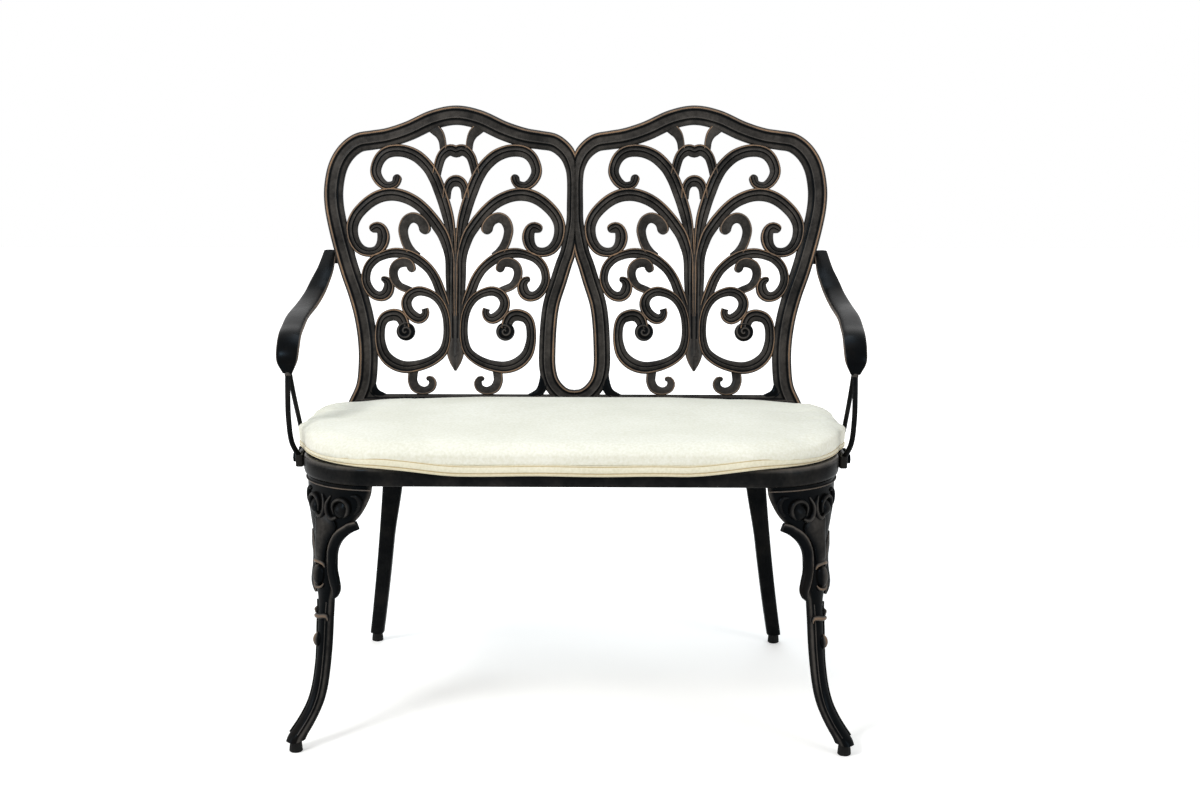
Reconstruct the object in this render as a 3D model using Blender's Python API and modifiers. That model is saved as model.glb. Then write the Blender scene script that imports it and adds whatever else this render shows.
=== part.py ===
"""A cast aluminium patio bench for two, with a scrolled double-oval back and a loose seat cushion.

Metres, +Z up. The sitter faces -Y, and +X is on the right in a front view.
The origin is on the floor, under the middle of the bench.
"""

import math

import bmesh
import bpy
from mathutils import Matrix, Vector

# Fits
FIT_GAP = 0.0003            # between pieces that seat on each other
WELD = 0.00001              # vertices nearer than this are one

# Seat casting
SEAT_TOP = 0.420            # rim's top above the floor
SEAT_WIDTH = 0.790
SEAT_DEPTH = 0.437
SEAT_FRONT = -0.266         # front of the rim
FRONT_CORNER_X = 0.120      # half axes of the rim's corner ellipses
FRONT_CORNER_Y = 0.130
REAR_CORNER_X = 0.085
REAR_CORNER_Y = 0.110
RIM_HEIGHT = 0.027
RIM_WALL = 0.014
RIM_ROUND = 0.003
DECK_THICKNESS = 0.007
DECK_SINK = 0.0002          # deck's top under the rim's top
LATTICE_X = 0.116           # pitch of the diamond openings
LATTICE_Y = 0.084
LATTICE_BAR = 0.013
LATTICE_BORDER = 0.030
BOSS_DIAMETER = 0.024

# Back panel
RECLINE_DEG = 10.0
BACK_GAP = 0.013            # from the seat's rear face to the rail's middle
RAIL_TOP = 0.026            # rail's top above the seat's top
RAIL_HALF_WIDTH = 0.0135
OVAL_SPACING = 0.397
OVAL_HALF_WIDTH = 0.2025    # to the middle of the frame's strap
OVAL_HEIGHT = 0.472         # rail's top to the middle of the frame's strap at the crest
FRAME_HALF_WIDTH = 0.0160
POST_THICKNESS = 0.021      # the post that both frames run into
FRAME_THICKNESS = 0.018
SCROLL_THICKNESS = 0.014
LUG_WIDTH = 0.040
LUG_THICKNESS = 0.008
LUG_INNER_X = 0.105
LUG_INSET = 0.105           # outer lugs, in from the rim's side

# Arms
ARM_HALF_WIDTH = 0.0160
ARM_THICKNESS = 0.010
STRUT_RADIUS = 0.0048
ARM_FOOT_WALL = 0.013
ARM_FOOT_HEIGHT = 0.018
ARM_TAB_WALL = 0.007
ARM_TAB_REACH = 0.014       # past its bolt
ARM_TAB_HALF = 0.014        # half height at its bolt
ARM_TAB_NECK = 0.007        # half height where the strap meets it
ARM_TAB_UP = 0.236          # middle of the tab above the rail's top, along the panel

# Legs
FOOT_HEIGHT = 0.016         # leg's end above the floor
FLANGE_THICKNESS = 0.008
FRONT_BOLT_INSET = 0.044    # from the rim's outside
FRONT_BOLT_SPREAD = 0.028   # from the leg's middle plane
FLANGE_START = 0.012        # front flange, in from the rim's outside
FLANGE_HALF_WIDTH = 0.048
FLANGE_TIP_HALF_WIDTH = 0.034
FLANGE_CORNER = 0.012
FLANGE_MARGIN = 0.002       # past the boss above it
HEEL_TOP = 0.92             # width of the front leg's back over its face, at the top and below the knee
HEEL_LOW = 0.65
HEEL_TURN = 0.70            # share of the leg's height where the back starts to widen
REAR_LEG_INSET_X = 0.100    # from the rim's side
REAR_LEG_INSET_Y = 0.043    # from the rim's rear face
REAR_LEG_SPLAY_X = 0.052    # foot past the leg's top
REAR_LEG_SPLAY_Y = 0.139
REAR_LEG_TAPER_X = 0.16
REAR_LEG_TAPER_Y = 0.12
REAR_FLANGE_CORNER = 0.006
REAR_LEG_WIDTH = 0.026
REAR_LEG_DEPTH = 0.024
REAR_BOLT_SPREAD = 0.031

# Levelling feet
STUD_RADIUS = 0.0040
STUD_LENGTH = 0.020
STUD_IN_PAD = 0.009
PAD_RADIUS = 0.0100
PAD_TOP_RADIUS = 0.0088
BORE_CLEARANCE = 0.0004
BORE_SPARE = 0.003          # bore left above the stud
PAD_EDGE = 0.0015

# Fasteners
BOLT_RADIUS = 0.0040
HOLE_CLEARANCE = 0.0005
HEAD_ACROSS = 0.0130
HEAD_HEIGHT = 0.0050
WASHER_RADIUS = 0.0080
WASHER_THICKNESS = 0.0015
BOLT_GRIP = 0.011           # length held in the far piece

# Cushion
CUSHION_SIDE = 0.013        # past the rim on either side
CUSHION_LIP = 0.008         # past the rim at the front
CUSHION_REAR_GAP = 0.019    # short of the rim's rear face
CUSHION_FRONT_CORNER_X = 0.175
CUSHION_FRONT_CORNER_Y = 0.205
CUSHION_REAR_CORNER_X = 0.120
CUSHION_REAR_CORNER_Y = 0.115
CUSHION_EDGE = 0.030        # thickness at the seamed edge
CUSHION_CROWN = 0.010       # rise of the middle over the edge
CUSHION_PINCH = 0.004       # how far the sides are drawn in between the seams

# Scrolls of one half oval, as strap middles: per cent of OVAL_HALF_WIDTH outwards from the oval's axis, per cent of
# OVAL_HEIGHT upwards from the rail, and half width in millimetres. Each starts at its root and ends in its curl.
SCROLLS = {
    "crown": ((3.2, 56, 7.0), (4.6, 60, 8.6), (6.7, 64.4, 10.0), (10.1, 69.5, 10.4), (13.5, 73.6, 10.6),
              (17.2, 77.5, 10.6), (22.9, 81.6, 10.5), (31.5, 85.2, 10.6), (41, 87.1, 10.4), (50.1, 87.5, 10.2),
              (57.3, 86.8, 10.0), (62.6, 84.9, 9.7), (65.8, 82, 9.3), (66.2, 79.3, 9.2), (63.1, 76.7, 8.6),
              (58.5, 75.1, 7.6), (54, 75, 7.0), (49.8, 76, 7.0), (47.8, 79, 7.0)),
    "shoulder": ((4.4, 40, 8.0), (4.9, 50, 8.8), (9.4, 56.8, 10.0), (15.3, 61, 10.3), (20.6, 64, 10.1),
                 (26.5, 66.8, 10.0), (33, 69.1, 10.2), (40.4, 70.8, 10.5), (48, 71.8, 10.8), (55.4, 72, 11.0),
                 (63, 71.3, 10.8), (70.5, 69.6, 10.5), (77.5, 67, 10.2), (82.5, 64.3, 10.0), (85.4, 61.2, 9.8),
                 (85.4, 58, 9.5), (83.5, 55.2, 9.3), (80, 53, 9.0), (75.5, 51.8, 8.4), (70.2, 51.5, 8.0),
                 (65, 52.1, 8.6), (61.1, 54, 9.8), (59.6, 56.8, 10.6), (60.9, 59.3, 9.6), (64.2, 60.4, 8.5),
                 (67.8, 59.9, 7.8), (70.3, 58.9, 7.5)),
    "inner_shoulder": ((31, 50, 6.5), (36.4, 51.7, 7.5), (40, 53.8, 7.8), (42.5, 56.6, 7.7), (43.5, 59.6, 8.2),
                       (41.3, 62.3, 8.7), (37.5, 63.6, 8.8), (33.5, 63.7, 8.8), (29, 62.6, 8.9), (26, 60.6, 9.2),
                       (24.8, 57.9, 9.0)),
    "waist": ((6.2, 30, 7.0), (9.6, 34.5, 8.0), (13.1, 38.4, 8.6), (16.5, 42, 8.4), (21.6, 45.4, 8.1),
              (28.7, 48.2, 8.5), (36, 50.1, 8.6), (43, 51, 8.5), (49.5, 51.3, 8.4), (55, 51, 7.7), (59.6, 50.4, 7.3),
              (64.5, 49.6, 7.5), (68.8, 48.2, 7.7), (72.5, 46, 7.4), (74.2, 43, 7.4), (73.6, 40.5, 7.6),
              (71, 38.2, 7.9), (67.5, 36.6, 8.2), (63.4, 35.9, 8.4), (59.4, 36.1, 9.2), (56.3, 37.3, 9.8),
              (55, 39.3, 9.2), (56.1, 41, 7.4), (58.8, 41.8, 5.6), (61.3, 41.5, 4.6)),
    "inner_waist": ((33, 37, 5.8), (38.9, 38.2, 6.3), (46.3, 39.6, 6.6), (50.4, 41.9, 7.4), (51.5, 44.7, 7.6),
                    (49, 47, 8.0), (43.5, 48, 8.2), (38.9, 47.6, 7.6), (36.7, 46.2, 7.0), (36.5, 44.4, 6.8)),
    "base": ((25.4, 31.6, 6.0), (24.7, 30.1, 6.3), (26.4, 28.6, 7.5), (30.7, 28, 9.0), (36, 29.3, 9.2),
             (39.7, 31.5, 9.0), (40.6, 34, 8.8), (38.1, 36.2, 8.5), (34, 37.4, 8.2), (29.5, 37.8, 8.1),
             (24.5, 37.4, 7.6), (19.5, 36.5, 7.0), (14.5, 34.8, 6.8), (10.3, 32.1, 6.7), (7.6, 28.5, 6.7),
             (6.7, 24.2, 6.8), (7.2, 20.5, 7.2), (9.3, 17.2, 7.8), (13.2, 15, 8.3), (20, 13, 8.8), (28.3, 11.6, 9.3),
             (38.7, 10.8, 10.2), (46.5, 11.3, 10.5), (53, 12.7, 10.5), (58, 14.8, 10.0), (60.8, 17.3, 9.4),
             (62.4, 21, 8.4), (62, 25, 8.2), (60.2, 27.3, 8.8), (57, 28.7, 9.6), (51, 29.4, 10.2), (46, 28.8, 10.2),
             (43, 27, 9.5), (41.5, 24.5, 9.0)),
    "foot": ((34.4, 10, 8.0), (35.2, 7.8, 8.0), (35.2, 5.8, 8.0), (32.4, 3.5, 8.2), (26, 2.6, 6.6), (20.5, 3.4, 6.9),
             (18.6, 5.1, 6.8), (19.8, 6.5, 5.6), (22, 6.7, 4.8), (23.4, 6.3, 4.4)),
    "bracket": ((22, 97, 11.0), (17.5, 95, 9.5), (13.6, 93.2, 8.0), (11.4, 90.8, 6.4), (10.6, 88, 6.0)),
}
NO_BUD = ("base", "bracket")        # these end inside another piece of the casting
# Straps that cross the oval's axis, one half of each.
ARCHES = {
    "heart": ((16.2, 79, 7.4), (14.6, 82.3, 7.8), (12.3, 85.2, 8.2), (8.4, 87.1, 9.2), (4.2, 87.7, 9.6),
              (0, 87.1, 9.8)),
    "keyhole": ((7.9, 70.5, 6.8), (7, 74, 7.4), (4.3, 76.1, 8.8), (0, 76.8, 9.8)),
}
STEM = ((0, 60, 5.0), (0, 52, 7.5), (0, 40, 9.5), (0, 30, 9.5), (0, 22, 8.5), (0, 15, 8.0))
LEAF = ((0, 21, 8.0), (0, 17.5, 13.0), (0, 15.3, 14.0), (0, 12.5, 9.5), (0, 10.3, 3.5), (0, 9.6, 1.5))
SPIRAL_EYE = (41, 23.5)
SPIRAL_EYE_RADIUS = 0.0155
# The frame from its crest down one side, in the same per cents.
FRAME_SIDE = ((0, 100), (19, 98.4), (39, 94.5), (56, 92.1), (69, 91.2), (81, 90.2), (91, 86.8), (97.8, 81.6),
              (100.9, 74.8), (100.7, 68.5), (97.8, 61.5), (92.5, 52.5), (87, 44.5), (80.5, 36.5), (75.5, 28.5),
              (72.5, 20), (72, 12))
# The frame from its crest down the side towards the other oval and round the teardrop to the bench's middle, with half
# widths in millimetres.
SHARED_SIDE = ((0, 100, 16), (19, 98.4, 16), (39, 94.5, 16), (56, 92.1, 16), (69, 91.2, 15.5), (81, 90.2, 15),
               (90.5, 86.9, 14.2), (95.6, 82.5, 13.2), (97.4, 77.5, 12.5), (97.4, 68.5, 12.5), (96.8, 61.5, 12.5),
               (93, 52.5, 13.2), (88.6, 46.8, 13.8), (84.8, 41.5, 14), (79, 33.5, 14), (76.6, 26, 14), (75.6, 17, 14),
               (75.8, 11, 14), (78.5, 6, 14), (84.5, 2.4, 14), (91.5, 0.5, 14), (98.6, 0.1, 14))
# The post: height in per cent, half width in millimetres.
POST = ((85.5, 9.0), (78, 13.6), (69, 14.0), (60, 13.6), (51, 8.0))
FRAME_OUTER_FOOT = ((74, 4), (81, -3))

# Arm strap from the back to its tip: out from the rim's side, back from its rear face, up from its top and share of
# ARM_HALF_WIDTH. The strap starts at ARM_ROOT, which is measured from the middle of its tab.
ARM_ROOT = (0.0275, 0.001, 0.006, 0.50)
ARM_PATH = ((0.0160, 0.020, 0.2415, 0.80), (0.0205, -0.011, 0.2230, 0.92), (0.0245, -0.044, 0.2070, 0.96),
            (0.0275, -0.099, 0.1945, 1.0), (0.0275, -0.184, 0.1860, 1.0), (0.0245, -0.244, 0.1775, 1.0),
            (0.0215, -0.289, 0.1700, 1.0), (0.0205, -0.313, 0.1540, 1.0), (0.0205, -0.323, 0.1360, 0.85),
            (0.0205, -0.320, 0.1180, 0.45))
FRONT_STRUT = ((0.0205, -0.317, 0.1280), (0.0200, -0.326, 0.0850), (0.0195, -0.327, 0.0500), (0.0165, -0.322, 0.0150),
               (0.0065, -0.310, -0.0110))
REAR_STRUT = ((0.0205, -0.313, 0.1280), (0.0195, -0.281, 0.0800), (0.0195, -0.245, 0.0400), (0.0170, -0.228, 0.0120),
              (0.0065, -0.220, -0.0110))
ARM_BOLT_BACK = (-0.289, -0.241)      # foot plate's bolts, back from the rim's rear face
ARM_FOOT_END = 0.032        # from a bolt's middle to the foot plate's end

# Front leg from its top to its end: share of its height, half width along the rim, outset from the rim, depth.
FRONT_LEG = ((1.000, 0.089, -0.006, 0.020), (0.955, 0.085, -0.006, 0.020), (0.890, 0.071, -0.005, 0.020),
             (0.845, 0.054, -0.005, 0.019), (0.790, 0.034, -0.004, 0.018), (0.735, 0.021, -0.003, 0.018),
             (0.670, 0.0165, -0.003, 0.018), (0.595, 0.0185, -0.002, 0.018), (0.535, 0.0125, -0.002, 0.018),
             (0.460, 0.0110, 0.000, 0.018), (0.340, 0.0110, 0.004, 0.018), (0.220, 0.0112, 0.011, 0.018),
             (0.145, 0.0116, 0.020, 0.019), (0.090, 0.0122, 0.033, 0.021), (0.045, 0.0128, 0.048, 0.024),
             (0.020, 0.0132, 0.057, 0.025), (0.000, 0.0132, 0.061, 0.024))
# Moulded roll down each edge of the knee: share of the leg's height and distance from its middle plane.
KNEE_ROLL = ((0.842, 0.0605), (0.826, 0.0480), (0.793, 0.0330), (0.750, 0.0225), (0.704, 0.0180), (0.659, 0.0180),
             (0.617, 0.0220), (0.590, 0.0240), (0.555, 0.0170))
KNEE_ROLL_RADIUS = 0.0055
KNEE_ROLL_SINK = 0.003
LEG_CROWN = 0.0035          # how far the middle of the leg's face stands out
# Beads down the middle of the face: share of the leg's height, radius.
LEG_BEADS = ((0.655, 0.0100), (0.515, 0.0085), (0.385, 0.0070))
REAR_LEG_BOW = 0.35         # how far the sweep waits for the lower leg

# Colours as linear values
BRONZE = (0.030, 0.024, 0.020)
STEEL = (0.36, 0.36, 0.35)
NYLON = (0.012, 0.012, 0.012)
IVORY = (0.84, 0.82, 0.72)

RIM_BOTTOM = SEAT_TOP - RIM_HEIGHT
SEAT_BACK = SEAT_FRONT + SEAT_DEPTH
DECK_TOP = SEAT_TOP - DECK_SINK
LEG_TOP = RIM_BOTTOM - FIT_GAP
LEG_HEIGHT = LEG_TOP - FOOT_HEIGHT
HOLE_RADIUS = BOLT_RADIUS + HOLE_CLEARANCE
PANEL = (Matrix.Translation((0, SEAT_BACK + BACK_GAP, SEAT_TOP + RAIL_TOP))
         @ Matrix.Rotation(math.radians(90 - RECLINE_DEG), 4, "X"))
STACK = FIT_GAP + WASHER_THICKNESS + FIT_GAP
ARM_BOLTS = [SEAT_BACK + back for back in ARM_BOLT_BACK]
REAR_LEG_TOP_X = SEAT_WIDTH / 2 - REAR_LEG_INSET_X
REAR_LEG_TOP_Y = SEAT_BACK - REAR_LEG_INSET_Y
REAR_FOOT_X = REAR_LEG_TOP_X + REAR_LEG_SPLAY_X
REAR_FOOT_Y = REAR_LEG_TOP_Y + REAR_LEG_SPLAY_Y
CUSHION_WIDTH = SEAT_WIDTH + 2 * CUSHION_SIDE
CUSHION_FRONT = SEAT_FRONT - CUSHION_LIP
CUSHION_DEPTH = SEAT_DEPTH + CUSHION_LIP - CUSHION_REAR_GAP


def new_collection(name):
    """A collection of the scene."""
    made = bpy.data.collections.new(name)
    bpy.context.scene.collection.children.link(made)
    return made


def make_material(name, colour, roughness, metallic):
    """A plain Principled material."""
    made = bpy.data.materials.new(name)
    made.use_nodes = True
    shader = made.node_tree.nodes["Principled BSDF"]
    shader.inputs["Base Color"].default_value = (*colour, 1.0)
    shader.inputs["Roughness"].default_value = roughness
    shader.inputs["Metallic"].default_value = metallic
    made.diffuse_color = (*colour, 1.0)
    return made


def shape(name, mesh):
    """An object for a mesh or a curve, among the working shapes."""
    made = bpy.data.objects.new(name, mesh)
    WORK.objects.link(made)
    made.hide_render = True
    made.display_type = "WIRE"
    return made


def finish(thing, name, material, placing):
    """Moves a working shape to the bench's collection under its own name, material and place."""
    WORK.objects.unlink(thing)
    BENCH.objects.link(thing)
    thing.name = name
    thing.hide_render = False
    thing.display_type = "TEXTURED"
    thing.data.materials.clear()
    thing.data.materials.append(material)
    thing.matrix_world = placing
    return thing


def settle(thing):
    """Gives a working shape its evaluated mesh, with the ends welded and the faces turned outwards."""
    bpy.context.view_layer.update()
    graph = bpy.context.evaluated_depsgraph_get()
    mesh = bpy.data.meshes.new_from_object(thing.evaluated_get(graph))
    shell = bmesh.new()
    shell.from_mesh(mesh)
    bmesh.ops.remove_doubles(shell, verts=shell.verts, dist=WELD)
    bmesh.ops.dissolve_degenerate(shell, edges=shell.edges, dist=WELD)
    bmesh.ops.recalc_face_normals(shell, faces=shell.faces)
    shell.to_mesh(mesh)
    shell.free()
    made = shape(thing.name, mesh)
    bpy.data.objects.remove(thing, do_unlink=True)
    return made


def from_bmesh(name, shell):
    """A working shape from a bmesh, which is freed."""
    bmesh.ops.recalc_face_normals(shell, faces=shell.faces)
    mesh = bpy.data.meshes.new(name)
    shell.to_mesh(mesh)
    shell.free()
    return shape(name, mesh)


def boolean(base, tools, operation):
    """Unites the tools with the base one after another, or cuts them from it, welding after each."""
    for tool in tools:
        step = base.modifiers.new(operation.lower(), "BOOLEAN")
        step.operation = operation
        step.solver = "EXACT"
        step.object = tool
        base = settle(base)
        bpy.data.objects.remove(tool, do_unlink=True)
    return base


def mirrored(thing, name):
    """A copy of a working shape on the other side of the plane X = 0."""
    shell = bmesh.new()
    shell.from_mesh(thing.data)
    bmesh.ops.transform(shell, matrix=Matrix.Scale(-1, 4, Vector((1, 0, 0))), verts=shell.verts)
    bmesh.ops.reverse_faces(shell, faces=shell.faces)
    mesh = bpy.data.meshes.new(name)
    shell.to_mesh(mesh)
    shell.free()
    return shape(name, mesh)


def moved(thing, matrix):
    """The working shape with a matrix applied to its mesh."""
    thing.data.transform(matrix)
    return thing


def box(name, low, high):
    """A box between two corners."""
    shell = bmesh.new()
    bmesh.ops.create_cube(shell, size=1)
    size = Vector(high) - Vector(low)
    middle = (Vector(high) + Vector(low)) / 2
    bmesh.ops.transform(shell, matrix=Matrix.Translation(middle) @ Matrix.Diagonal((*size, 1)), verts=shell.verts)
    return from_bmesh(name, shell)


def rod(name, start, end, radius, sides):
    """A straight prism from one point to another."""
    start = Vector(start)
    way = Vector(end) - start
    shell = bmesh.new()
    bmesh.ops.create_cone(shell, cap_ends=True, segments=sides, radius1=radius, radius2=radius, depth=way.length)
    turn = way.to_track_quat("Z", "Y").to_matrix().to_4x4()
    bmesh.ops.transform(shell, matrix=Matrix.Translation(start + way / 2) @ turn, verts=shell.verts)
    return from_bmesh(name, shell)


def lathe(name, profile, sides):
    """A profile of (radius, height) points turned about Z. It starts and ends on the axis, or it is closed."""
    shell = bmesh.new()
    points = [shell.verts.new((r, 0, z)) for r, z in profile]
    pairs = list(zip(points, points[1:]))
    if profile[0][0] > 0:
        pairs.append((points[-1], points[0]))
    for first, second in pairs:
        shell.edges.new((first, second))
    mesh = bpy.data.meshes.new(name)
    shell.to_mesh(mesh)
    shell.free()
    made = shape(name, mesh)
    turn = made.modifiers.new("turn", "SCREW")
    turn.axis = "Z"
    turn.steps = sides
    turn.render_steps = sides
    turn.use_merge_vertices = True
    turn.merge_threshold = WELD
    return settle(made)


def loft(name, rings):
    """A closed skin over rings of equally many points, with flat ends."""
    shell = bmesh.new()
    rows = [[shell.verts.new(point) for point in ring] for ring in rings]
    count = len(rows[0])
    for lower, upper in zip(rows, rows[1:]):
        for i in range(count):
            j = (i + 1) % count
            shell.faces.new((lower[i], lower[j], upper[j], upper[i]))
    shell.faces.new(rows[0])
    shell.faces.new(rows[-1])
    return from_bmesh(name, shell)


def plate(name, outlines, low, high, edge=0.0):
    """A flat plate with outlines in the XY plane: the outer one, then its openings. The edges may be bevelled."""
    curve = bpy.data.curves.new(name, "CURVE")
    curve.dimensions = "2D"
    curve.fill_mode = "BOTH"
    curve.extrude = (high - low) / 2 - edge
    curve.bevel_depth = edge
    curve.bevel_resolution = 0
    curve.offset = -edge
    for outline in outlines:
        line = curve.splines.new("POLY")
        line.points.add(len(outline) - 1)
        for point, (x, y) in zip(line.points, outline):
            point.co = (x, y, 0, 1)
        line.use_cyclic_u = True
    made = settle(shape(name, curve))
    return moved(made, Matrix.Translation((0, 0, (low + high) / 2)))


def smooth(points, turn_deg, longest):
    """Points on a Catmull-Rom curve through the given ones, thinned to a step at each turn or length.

    The first three coordinates give the curve's direction, and any further ones ride along with it.
    """
    points = [Vector(p) for p in points]
    ends = [2 * points[0] - points[1]] + points + [2 * points[-1] - points[-2]]
    fine = []
    for a, b, c, d in zip(ends, ends[1:], ends[2:], ends[3:]):
        for k in range(12):
            t = k / 12
            fine.append(0.5 * (2 * b + (c - a) * t + (2 * a - 5 * b + 4 * c - d) * t * t
                               + (3 * b - a - 3 * c + d) * t ** 3))
    fine.append(points[-1])
    kept = [fine[0]]
    way = None
    turned = 0.0
    length = 0.0
    for last, this in zip(fine, fine[1:]):
        step = Vector(this[:3]) - Vector(last[:3])
        if way is not None and step.length > 0:
            turned += way.angle(step, 0.0)
        way = step
        length += step.length
        if turned >= math.radians(turn_deg) or length >= longest:
            kept.append(this)
            turned = 0.0
            length = 0.0
    if (Vector(kept[-1][:3]) - Vector(fine[-1][:3])).length < longest / 6 and len(kept) > 2:
        kept.pop()
    kept.append(fine[-1])
    return kept


def section(points):
    """A closed profile for a strap, in half widths."""
    curve = bpy.data.curves.new("section", "CURVE")
    curve.dimensions = "2D"
    line = curve.splines.new("POLY")
    line.points.add(len(points) - 1)
    for point, (x, y) in zip(line.points, points):
        point.co = (x, y, 0, 1)
    line.use_cyclic_u = True
    return shape("section", curve)


def sweep(name, path, profile=None, radius=0.0):
    """A strap, with local Z kept as its profile's up, or a round tube, along (x, y, z, scale) points."""
    curve = bpy.data.curves.new(name, "CURVE")
    curve.dimensions = "3D"
    curve.use_fill_caps = True
    if profile is None:
        curve.twist_mode = "MINIMUM"
        curve.bevel_depth = radius
        curve.bevel_resolution = 1
    else:
        curve.twist_mode = "Z_UP"
        curve.bevel_mode = "OBJECT"
        curve.bevel_object = profile
    line = curve.splines.new("POLY")
    line.points.add(len(path) - 1)
    for point, (x, y, z, scale) in zip(line.points, path):
        point.co = (x, y, z, 1)
        point.radius = scale
    return settle(shape(name, curve))


def corner_outline(width, front, depth, front_corner, rear_corner, inset, steps):
    """Plan of a seat: straight sides between elliptical corners, anticlockwise, moved inwards by an inset."""
    points = []
    corners = ((1, 1, rear_corner), (-1, 1, rear_corner), (-1, -1, front_corner), (1, -1, front_corner))
    for number, (sx, sy, (rx, ry)) in enumerate(corners):
        cx = sx * (width / 2 - rx)
        cy = front + depth - ry if sy > 0 else front + ry
        for k in range(steps + 1):
            angle = math.pi / 2 * (number + k / steps)
            normal = Vector((math.cos(angle) / rx, math.sin(angle) / ry)).normalized()
            points.append((cx + rx * math.cos(angle) - inset * normal.x, cy + ry * math.sin(angle) - inset * normal.y))
    return points


def seat_plan(inset):
    """The rim's outside, moved inwards."""
    return corner_outline(SEAT_WIDTH, SEAT_FRONT, SEAT_DEPTH, (FRONT_CORNER_X, FRONT_CORNER_Y),
                          (REAR_CORNER_X, REAR_CORNER_Y), inset, 7)


def rim_point(distance, outset):
    """A point by the left front corner of the rim, at a distance along it from the corner's middle."""
    reach = (FRONT_CORNER_X + FRONT_CORNER_Y) / 2
    angle = distance / reach
    beyond = 0.0
    if abs(angle) > math.pi / 4:
        beyond = (abs(angle) - math.pi / 4) * reach
        angle = math.copysign(math.pi / 4, angle)
    turn = math.pi / 4 + angle
    normal = Vector((-math.cos(turn) / FRONT_CORNER_X, -math.sin(turn) / FRONT_CORNER_Y)).normalized()
    point = Vector((-SEAT_WIDTH / 2 + FRONT_CORNER_X * (1 - math.cos(turn)),
                    SEAT_FRONT + FRONT_CORNER_Y * (1 - math.sin(turn))))
    along = Vector((-normal.y, normal.x)) * math.copysign(1.0, distance)
    return point + normal * outset + along * beyond


CORNER_OUT = (rim_point(0, 1) - rim_point(0, 0)).normalized()
CORNER_ALONG = Vector((-CORNER_OUT.y, CORNER_OUT.x))


def leg_bolts():
    """Places of the leg bolts on the left side: two at the front leg, two at the rear leg."""
    front = rim_point(0, 0) - CORNER_OUT * FRONT_BOLT_INSET
    places = [front + CORNER_ALONG * side * FRONT_BOLT_SPREAD for side in (-1, 1)]
    places += [Vector((-REAR_LEG_TOP_X + side * REAR_BOLT_SPREAD, REAR_LEG_TOP_Y)) for side in (-1, 1)]
    return places


def lug_places():
    """X of the four lugs that hold the back."""
    outer = SEAT_WIDTH / 2 - LUG_INSET
    return (-outer, -LUG_INNER_X, LUG_INNER_X, outer)


def arm_bolt_height():
    """Height of the bolts through the rim's wall."""
    return RIM_BOTTOM + RIM_HEIGHT / 2


def make_seat():
    """The seat: a rim ring, a lattice deck and a boss over each leg bolt, drilled for all its bolts."""
    rim = plate("rim", (seat_plan(0), seat_plan(RIM_WALL)), RIM_BOTTOM, SEAT_TOP, RIM_ROUND)
    bosses = [Vector((sx * place.x, place.y)) for place in leg_bolts() for sx in (-1, 1)]
    openings = []
    rows = int(SEAT_DEPTH / LATTICE_Y) + 1
    columns = int(SEAT_WIDTH / LATTICE_X) + 1
    middle = SEAT_FRONT + SEAT_DEPTH / 2
    half = Vector(((LATTICE_X - LATTICE_BAR * 1.6) / 2, (LATTICE_Y - LATTICE_BAR * 1.2) / 2))
    inside = seat_plan(LATTICE_BORDER)
    for row in range(-2 * rows, 2 * rows + 1):
        for column in range(-columns, columns + 1):
            x = (column + (row % 2) / 2) * LATTICE_X
            y = middle + row * LATTICE_Y / 2
            tips = ((x + half.x, y), (x, y + half.y), (x - half.x, y), (x, y - half.y))
            clear = all((Vector((x, y)) - boss).length > half.y + BOSS_DIAMETER / 2 for boss in bosses)
            if clear and all(within(tip, inside) for tip in tips):
                openings.append(tips)
    deck = plate("deck", [seat_plan(RIM_WALL / 2)] + openings, DECK_TOP - DECK_THICKNESS, DECK_TOP)
    posts = [rod("boss", (*boss, RIM_BOTTOM), (*boss, DECK_TOP - DECK_THICKNESS / 2), BOSS_DIAMETER / 2, 8)
             for boss in bosses]
    seat = boolean(rim, [deck] + posts, "UNION")
    depth = BOLT_GRIP + 2 * FIT_GAP
    holes = [rod("hole", (*boss, RIM_BOTTOM - depth), (*boss, RIM_BOTTOM + depth), HOLE_RADIUS, 8) for boss in bosses]
    level = arm_bolt_height()
    wall = 2 * RIM_WALL
    for x in lug_places():
        holes.append(rod("hole", (x, SEAT_BACK - wall, level), (x, SEAT_BACK + wall, level), HOLE_RADIUS, 8))
    for y in ARM_BOLTS:
        for side in (-SEAT_WIDTH / 2, SEAT_WIDTH / 2):
            holes.append(rod("hole", (side - wall, y, level), (side + wall, y, level), HOLE_RADIUS, 8))
    return finish(boolean(seat, holes, "DIFFERENCE"), "seat_casting", PAINT, Matrix())


def within(point, outline):
    """Whether a point lies inside a convex anticlockwise outline."""
    spot = Vector(point)
    for a, b in zip(outline, outline[1:] + outline[:1]):
        edge = Vector(b) - Vector(a)
        if edge.cross(spot - Vector(a)) < 0:
            return False
    return True


def oval_point(oval, side, across, up):
    """A place on the panel: oval -1 or 1, side -1 or 1 of its axis, and per cents of the oval's size."""
    reach = across / 100 * OVAL_HALF_WIDTH
    return oval * OVAL_SPACING / 2 + side * reach, up / 100 * OVAL_HEIGHT


def strap_section(thickness, half_width):
    """A strap's profile in half widths: flat back, leaning sides and a ridge in front."""
    k = thickness / half_width
    return section(((-0.85, -k / 2), (0.85, -k / 2), (1.0, 0.1 * k), (0.0, k / 2), (-1.0, 0.1 * k)))


def frame_section():
    """The frame's profile in half widths, with a flat face between two slopes."""
    k = FRAME_THICKNESS / FRAME_HALF_WIDTH
    return section(((-0.9, -k / 2), (0.9, -k / 2), (1.0, 0.1 * k), (0.55, k / 2), (-0.55, k / 2), (-1.0, 0.1 * k)))


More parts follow.
